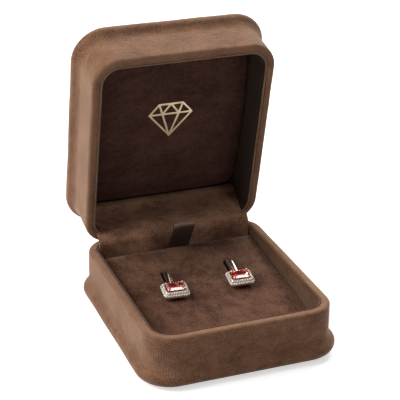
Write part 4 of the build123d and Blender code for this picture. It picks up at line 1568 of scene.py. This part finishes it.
# %% Claws and lugs
CLAW_STEPS = (
    (0.2, 0.34, 0), (1.2, 0.34, 0), (1.8, 0.33, 0.02), (2.2, 0.31, 0.08), (2.4, 0.25, 0.14),
    (2.51, 0.15, 0.17), (2.54, 0.05, 0.18),
)
LEVER_WIDTH = 1.6
PIVOT_Y = 2.0
PIVOT_Z = -3.095
EYE_RADIUS = 0.75
LUG_GAP = 0.12


def claw(x, y):
    """Tapered peg with a domed tip that leans in over the stone's corner. Each of its steps
    is a height, a radius and how far it leans over."""
    lean = Vector((-x, -y, 0)).normalized()
    rings = []
    for height, radius, over in CLAW_STEPS:
        centre = Vector((x, y, height)) + lean * over
        rings.append([
            centre + Vector((math.cos(a) * radius, math.sin(a) * radius, 0))
            for a in np.linspace(0, 2 * math.pi, 12, endpoint=False)
        ])
    return ring_skin(rings)


def lug(side):
    """Plate with a round end that holds the lever's rivet."""
    low = LEVER_WIDTH / 2 + LUG_GAP
    middle_z = (PIVOT_Z - HALO_WALL) / 2
    edge = [(PIVOT_Y + EYE_RADIUS, -HALO_WALL + 0.05), (PIVOT_Y - EYE_RADIUS, -HALO_WALL + 0.05)]
    edge += [
        (PIVOT_Y + EYE_RADIUS * math.cos(a), PIVOT_Z + EYE_RADIUS * math.sin(a))
        for a in np.linspace(math.pi, 2 * math.pi, 13)
    ]
    rings = []
    for across, drawn in ((low, 0.93), (low + 0.05, 1.0), (low + 0.3, 1.0), (low + 0.35, 0.93)):
        rings.append([
            (side * across, PIVOT_Y + (y - PIVOT_Y) * drawn, middle_z + (z - middle_z) * drawn)
            for y, z in edge
        ])
    return ring_skin(rings)


print("claws stand", CLAW_STEPS[-1][0], "mm above the earring's middle")

# %% Settings
claw_out = 0.35 * math.sqrt(0.5) + 0.05 - CUT_CORNER / 2
claw_places = [
    (sx * (STONE_WIDTH / 2 + claw_out), sy * (STONE_DEPTH / 2 + claw_out))
    for sx in (-1, 1) for sy in (-1, 1)
]
for owner in EARRINGS:
    parts = [ring_skin(frame_rings(), closed=True), ring_skin(basket_rings(), closed=True)]
    parts += [claw(x, y) for x, y in claw_places] + [lug(side) for side in (-1, 1)]
    setting = joined(f"{owner}_halo_frame", parts, "earring_metal")
    setting.data.materials.append(finishes["stone_bed"])
    count = len(frame_rings()[0])
    for face in setting.data.polygons:
        if face.index // count in BED_ROWS:
            face.material_index = 1
    laid(setting, owner, "earring_metal", "setting")
print("settings:", len(setting.data.polygons), "faces,", edges_that_gape(setting), "open edges")

# %% [markdown]
# Two rows of small round stones cover the bevel, and a pair of tiny metal beads holds each
# stone to the next. They repeat along an oblong, which is work for Geometry Nodes: draw the
# oblong, round its corners, set points along it, and put a stone on every even point and a
# pair of beads on every odd one, all facing out of the bevel. The stones are turned by a
# seeded random angle so that they don't all sparkle alike.

# %% Geometry Nodes with named inputs
ROW_INPUTS = {
    "Width": "Float", "Depth": "Float", "Corner": "Float", "Rise": "Float", "Run": "Float",
    "Count": "Int", "Finish": "Material",
}


class Row(Tree):
    """Geometry Nodes tree that sets something along an oblong."""

    def __init__(self, name, more_inputs):
        super().__init__(bpy.data.node_groups.new(name, "GeometryNodeTree"))
        sockets = self.tree.interface
        sockets.new_socket("Geometry", in_out="OUTPUT", socket_type="NodeSocketGeometry")
        for key, kind in {**ROW_INPUTS, **more_inputs}.items():
            sockets.new_socket(key, in_out="INPUT", socket_type=f"NodeSocket{kind}")
        self.start = self.add("NodeGroupInput")

    def given(self, name):
        """One of the tree's inputs."""
        return Amount(self, self.start.outputs[name])

    def vector(self, operation, *inputs):
        """The vector from one Vector Math node."""
        node = self.add("ShaderNodeVectorMath", {"operation": operation}, dict(enumerate(inputs)))
        return node.outputs[0]

    def combined(self, **parts):
        """A vector from its X, Y and Z, each 0 if it isn't given."""
        return self.add("ShaderNodeCombineXYZ", {}, parts).outputs[0]

    def set_out(self, piece, spots, rotation, chosen):
        """Puts a piece on the chosen spots, and ends the tree with real geometry in its finish."""
        placed = self.add("GeometryNodeInstanceOnPoints", {}, {
            "Points": spots, "Selection": chosen, "Instance": piece, "Rotation": rotation})
        solid = self.add("GeometryNodeRealizeInstances", {}, {"Geometry": placed.outputs[0]})
        dressed = self.add("GeometryNodeSetMaterial", {}, {
            "Geometry": solid.outputs[0], "Material": self.given("Finish")})
        self.add("NodeGroupOutput", {}, {0: dressed.outputs[0]})
        return self.tree


print("a row has", len(ROW_INPUTS), "inputs of its own")

# %% Points along the oblong, and one stone
def row_points(row):
    """Points along the oblong, with the way out of the bevel and the way along it."""
    oblong_curve = row.add("GeometryNodeCurvePrimitiveQuadrilateral", {}, {
        "Width": row.given("Width"), "Height": row.given("Depth")})
    rounded = row.add("GeometryNodeFilletCurve", {"mode": "POLY"}, {
        "Curve": oblong_curve.outputs[0], "Radius": row.given("Corner"), "Count": 12})
    spread = row.add("GeometryNodeCurveToPoints", {"mode": "COUNT"}, {
        "Curve": rounded.outputs[0], "Count": row.given("Count") * 2})
    tangent = spread.outputs["Tangent"]
    across = row.vector("NORMALIZE", row.vector("CROSS_PRODUCT", tangent, (0, 0, 1)))
    where = row.add("GeometryNodeInputPosition").outputs[0]
    dot = row.add("ShaderNodeVectorMath", {"operation": "DOT_PRODUCT"}, {0: across, 1: where})
    side = Amount(row, dot.outputs["Value"])
    lean = row.add("ShaderNodeVectorMath", {"operation": "SCALE"}, {
        0: across, "Scale": side.work("SIGN", side) * row.given("Rise")})
    facing = row.vector("ADD", lean.outputs[0], row.combined(Z=row.given("Run")))
    stand = row.add("FunctionNodeAlignRotationToVector", {"axis": "Z"}, {"Vector": facing})
    face = row.add("FunctionNodeAlignRotationToVector", {"axis": "X", "pivot_axis": "Z"}, {
        "Rotation": stand.outputs[0], "Vector": tangent})
    number = Amount(row, row.add("GeometryNodeInputIndex").outputs[0])
    return spread.outputs["Points"], face.outputs[0], number.work("MODULO", number, 2)


def round_stone(row):
    """Small stone: a flat table, a sloping crown and a pointed foot, joined at the girdle."""
    radius, table = row.given("Stone Radius"), row.given("Table Radius")
    crown = row.add("GeometryNodeMeshCone", {"fill_type": "NONE"}, {
        "Vertices": 8, "Radius Top": table, "Radius Bottom": radius, "Depth": row.given("Crown")})
    foot = row.add("GeometryNodeMeshCone", {"fill_type": "NONE"}, {
        "Vertices": 8, "Radius Top": 0.0, "Radius Bottom": radius, "Depth": row.given("Foot")})
    turned = row.add("GeometryNodeTransform", {}, {
        "Geometry": foot.outputs[0], "Rotation": (math.pi, 0, 0)})
    disc = row.add("GeometryNodeMeshCircle", {"fill_type": "NGON"}, {"Vertices": 8, "Radius": table})
    lifted = row.add("GeometryNodeTransform", {}, {
        "Geometry": disc.outputs[0], "Translation": row.combined(Z=row.given("Crown"))})
    gathered = row.add("GeometryNodeJoinGeometry")
    for part in (crown.outputs[0], turned.outputs[0], lifted.outputs[0]):
        row.tree.links.new(part, gathered.inputs[0])
    merged = row.add("GeometryNodeMergeByDistance", {}, {
        "Geometry": gathered.outputs[0], "Distance": 0.005})
    return merged.outputs[0]


print("a small stone is a table, a crown and a foot")

# %% Trees for the stones and for the beads
def stone_row_tree():
    """A stone on every even point, each turned by a random angle."""
    row = Row("stone_row", {
        "Stone Radius": "Float", "Table Radius": "Float", "Crown": "Float", "Foot": "Float",
        "Seed": "Int"})
    spots, rotation, odd = row_points(row)
    angle = row.add("FunctionNodeRandomValue", {"data_type": "FLOAT"}, {
        "Max": math.pi / 4, "Seed": row.given("Seed")})
    spin = row.add("FunctionNodeAxisAngleToRotation", {}, {"Axis": (0, 0, 1), "Angle": angle.outputs[1]})
    spun = row.add("FunctionNodeRotateRotation", {"rotation_space": "LOCAL"}, {
        "Rotation": rotation, "Rotate By": spin.outputs[0]})
    return row.set_out(round_stone(row), spots, spun.outputs[0], 1 - odd)


def bead_row_tree():
    """A pair of beads on every odd point."""
    row = Row("bead_row", {"Bead Radius": "Float", "Bead Apart": "Float", "Bead Lift": "Float"})
    spots, rotation, odd = row_points(row)
    bead = row.add("GeometryNodeMeshIcoSphere", {}, {
        "Radius": row.given("Bead Radius"), "Subdivisions": 2})
    pair = row.add("GeometryNodeJoinGeometry")
    for side in (-0.5, 0.5):
        place = row.combined(Y=row.given("Bead Apart") * side, Z=row.given("Bead Lift"))
        moved = row.add("GeometryNodeTransform", {}, {"Geometry": bead.outputs[0], "Translation": place})
        row.tree.links.new(moved.outputs[0], pair.inputs[0])
    return row.set_out(pair.outputs[0], spots, rotation, odd)


def grown(tree, height, **values):
    """Runs a tree on an empty piece and returns its plain mesh, lifted to a height."""
    holder = in_scene("grown", bpy.data.meshes.new("grown"))
    run = holder.modifiers.new("row", "NODES")
    run.node_group = tree
    for item in tree.interface.items_tree:
        if item.in_out == "INPUT":
            run[item.identifier] = values[item.name]
    settle(holder)
    mesh = holder.data
    bpy.data.objects.remove(holder)
    mesh.transform(Matrix.Translation((0, 0, height)))
    return mesh


stone_tree, bead_tree = stone_row_tree(), bead_row_tree()
print("trees:", stone_tree.name, bead_tree.name)

# %% Small stones and their beads
PAVE_PITCH = 1.04
PAVE_ROWS = (0.26, 0.76)


def merged_piece(name, meshes, finish):
    """One piece from several meshes in an earring's own millimetres."""
    work = bmesh.new()
    for mesh in meshes:
        work.from_mesh(mesh)
    mesh = bpy.data.meshes.new(name)
    work.to_mesh(mesh)
    work.free()
    mesh.materials.append(finishes[finish])
    piece = face_out(in_scene(name, mesh))
    mesh.transform(Matrix.Scale(MM, 4))
    return piece


for seed, owner in enumerate(EARRINGS):
    stones, beads = [], []
    for share in PAVE_ROWS:
        width = HALO_WIDTH + share * (BEVEL_WIDTH - HALO_WIDTH)
        depth = HALO_DEPTH + share * (BEVEL_DEPTH - HALO_DEPTH)
        corner = HALO_CORNER * (1 - share / 2)
        around = 2 * (width + depth) - 8 * corner + 2 * math.pi * corner
        common = {
            "Width": width, "Depth": depth, "Corner": corner, "Rise": HALO_RISE,
            "Run": (HALO_WIDTH - BEVEL_WIDTH) / 2, "Count": round(around / PAVE_PITCH),
        }
        stones.append(grown(stone_tree, HALO_RISE * share, **common, **{
            "Stone Radius": 0.38, "Table Radius": 0.24, "Crown": 0.17, "Foot": 0.26, "Seed": seed,
            "Finish": finishes["clear_stone"]}))
        beads.append(grown(bead_tree, HALO_RISE * share, **common, **{
            "Bead Radius": 0.11, "Bead Apart": 0.62, "Bead Lift": 0.05,
            "Finish": finishes["earring_metal"]}))
    pave = merged_piece(f"{owner}_small_stones", stones, "clear_stone")
    laid(pave, owner, "clear_stone", "halo_stones")
    bead_piece = merged_piece(f"{owner}_stone_beads", beads, "earring_metal")
    bead_piece.data.shade_smooth()
    laid(bead_piece, owner, "earring_metal")
print("small stones:", len(pave.data.polygons), "faces; beads:", len(bead_piece.data.polygons), "faces")

# %% [markdown]
# The hook is a wire that leaves the top of the halo as a flat tapered root, runs back just
# above the cushion and comes down on the end of the lever. Rings along a smooth line make
# it, wide and flat at the root and round further on.

# %% Hooks
HOOK_RADIUS = 0.4
HOOK_ROOT = 0.75
ROOT_ENDS = 0.45
TIP_STARTS = 0.93
TIP_LONG = 0.075
hook_marks = [((4.2, -0.2), (4.5, 0.0)), ((11.0, 0.3), (5.2, -0.6)), ((16.6, -3.36), (0.0, -5.6))]


def smooth_line(marks, steps):
    """Cubic line through marks, each a place and a direction."""
    line = []
    for (start, leave), (end, arrive) in zip(marks, marks[1:]):
        start, leave, end, arrive = (np.array(v, float) for v in (start, leave, end, arrive))
        for share in np.linspace(0, 1, steps, endpoint=False):
            s2, s3 = share ** 2, share ** 3
            line.append(
                start * (2 * s3 - 3 * s2 + 1) + leave * (s3 - 2 * s2 + share)
                + end * (3 * s2 - 2 * s3) + arrive * (s3 - s2))
    return np.array(line + [np.array(marks[-1][0], float)])


def hook_skin():
    """The wire: flat at its root, round from there on, with a domed tip."""
    line = smooth_line(hook_marks, 14)
    way = np.gradient(line, axis=0)
    way /= np.linalg.norm(way, axis=1)[:, None]
    rings = []
    for number, (y, z) in enumerate(line):
        share = number / (len(line) - 1)
        flat = max(0.0, 1 - share / ROOT_ENDS)
        wide = HOOK_RADIUS + (HOOK_ROOT - HOOK_RADIUS) * flat ** 0.8
        tip = 1.0
        if share >= TIP_STARTS:
            tip = math.sqrt(max(0.02, 1 - ((share - TIP_STARTS) / TIP_LONG) ** 2))
        normal = (-way[number][1], way[number][0])
        ring = []
        for angle in np.linspace(0, 2 * math.pi, 20, endpoint=False):
            across = wide * math.cos(angle) * tip
            above = HOOK_RADIUS * math.sin(angle) * tip
            ring.append((across, y + normal[0] * above, z + normal[1] * above))
        rings.append(ring)
    return ring_skin(rings)


for owner in EARRINGS:
    hook = joined(f"{owner}_ear_wire", [hook_skin()], "earring_metal")
    laid(hook, owner, "earring_metal", "hook")
print("hooks:", len(hook.data.polygons), "faces,", edges_that_gape(hook), "open edges")

# %% [markdown]
# The lever and its rivet have plain pressed shapes, which the CAD model already holds. A
# copy of each is merged, its flat faces are joined up again, and a fine bevel breaks the
# edges so that they catch the light.

# %% Levers and rivets
def broken_edges(name, node, bevel, finish):
    """Copy of a CAD node with its sharp edges bevelled."""
    work = bmesh.new()
    work.from_mesh(frame["nodes"][node].data)
    bmesh.ops.remove_doubles(work, verts=work.verts, dist=0.002 * MM)
    bmesh.ops.dissolve_limit(work, angle_limit=math.radians(2), verts=work.verts, edges=work.edges)
    mesh = bpy.data.meshes.new(name)
    work.to_mesh(mesh)
    work.free()
    mesh.materials.append(finishes[finish])
    piece = in_scene(name, mesh)
    edge = piece.modifiers.new("edge", "BEVEL")
    edge.width = bevel * MM
    edge.segments = 2
    edge.limit_method = "ANGLE"
    edge.angle_limit = math.radians(35)
    settle(piece)
    piece.data.shade_smooth()
    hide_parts(node)
    return piece


for owner in EARRINGS:
    lever = broken_edges(f"{owner}_closing_lever", f"{owner}_lever", 0.1, "lever_metal")
    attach(lever, f"{owner}_lever")
    rivet = broken_edges(f"{owner}_rivet", f"{owner}_lever_pin", 0.05, "earring_metal")
    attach(rivet, owner)
print("lever:", len(lever.data.polygons), "faces,", edges_that_gape(lever), "open edges")

# %% [markdown]
# The box stands on a plain pale floor. To the camera, and in reflections, the floor and the
# world add enough white of their own to reach the white of the picture's ground, while the
# floor still darkens where the box shades it. The light on the box isn't changed by that.

# %% Floor and world
SEEN_FLOOR = 0.60
AMBIENT = 0.06
FLOOR_HALF = 4.0


def seen_rays(tree):
    """1 for rays from the camera, from gloss and through glass."""
    path = tree.add("ShaderNodeLightPath").outputs
    seen = Amount(tree, path["Is Camera Ray"]) + Amount(tree, path["Is Glossy Ray"])
    return (seen + Amount(tree, path["Is Transmission Ray"])).within()


mesh = bpy.data.meshes.new("floor")
corners = [(x * FLOOR_HALF, y * FLOOR_HALF, 0) for x, y in ((-1, -1), (1, -1), (1, 1), (-1, 1))]
mesh.from_pydata(corners, [], [[0, 1, 2, 3]])
floor = in_scene("floor", mesh)
paper = Finish("floor_paper", Roughness=0.9, Specular_IOR_Level=0.1)
grain = paper.noise(paper.place(), 400, 2)
paper.colour(grain, (0.74, 0.74, 0.74), (0.78, 0.78, 0.78))
glow = paper.add("ShaderNodeEmission", {}, {"Strength": seen_rays(paper) * SEEN_FLOOR})
both = paper.add("ShaderNodeAddShader", {}, {0: paper.shader.outputs[0], 1: glow.outputs[0]})
paper.tree.links.new(both.outputs[0], paper.tree.nodes["Material Output"].inputs[0])
mesh.materials.append(paper.material)

world = bpy.data.worlds.new("studio")
world.use_nodes = True
bpy.context.scene.world = world
studio = Tree(world.node_tree)
strength = seen_rays(studio) * (1 - AMBIENT) + AMBIENT
backdrop = world.node_tree.nodes["Background"]
studio.tree.links.new(strength.socket, backdrop.inputs["Strength"])
backdrop.inputs["Color"].default_value = (1, 1, 1, 1)
bpy.context.scene.view_settings.view_transform = "Standard"
print("floor and world ready")
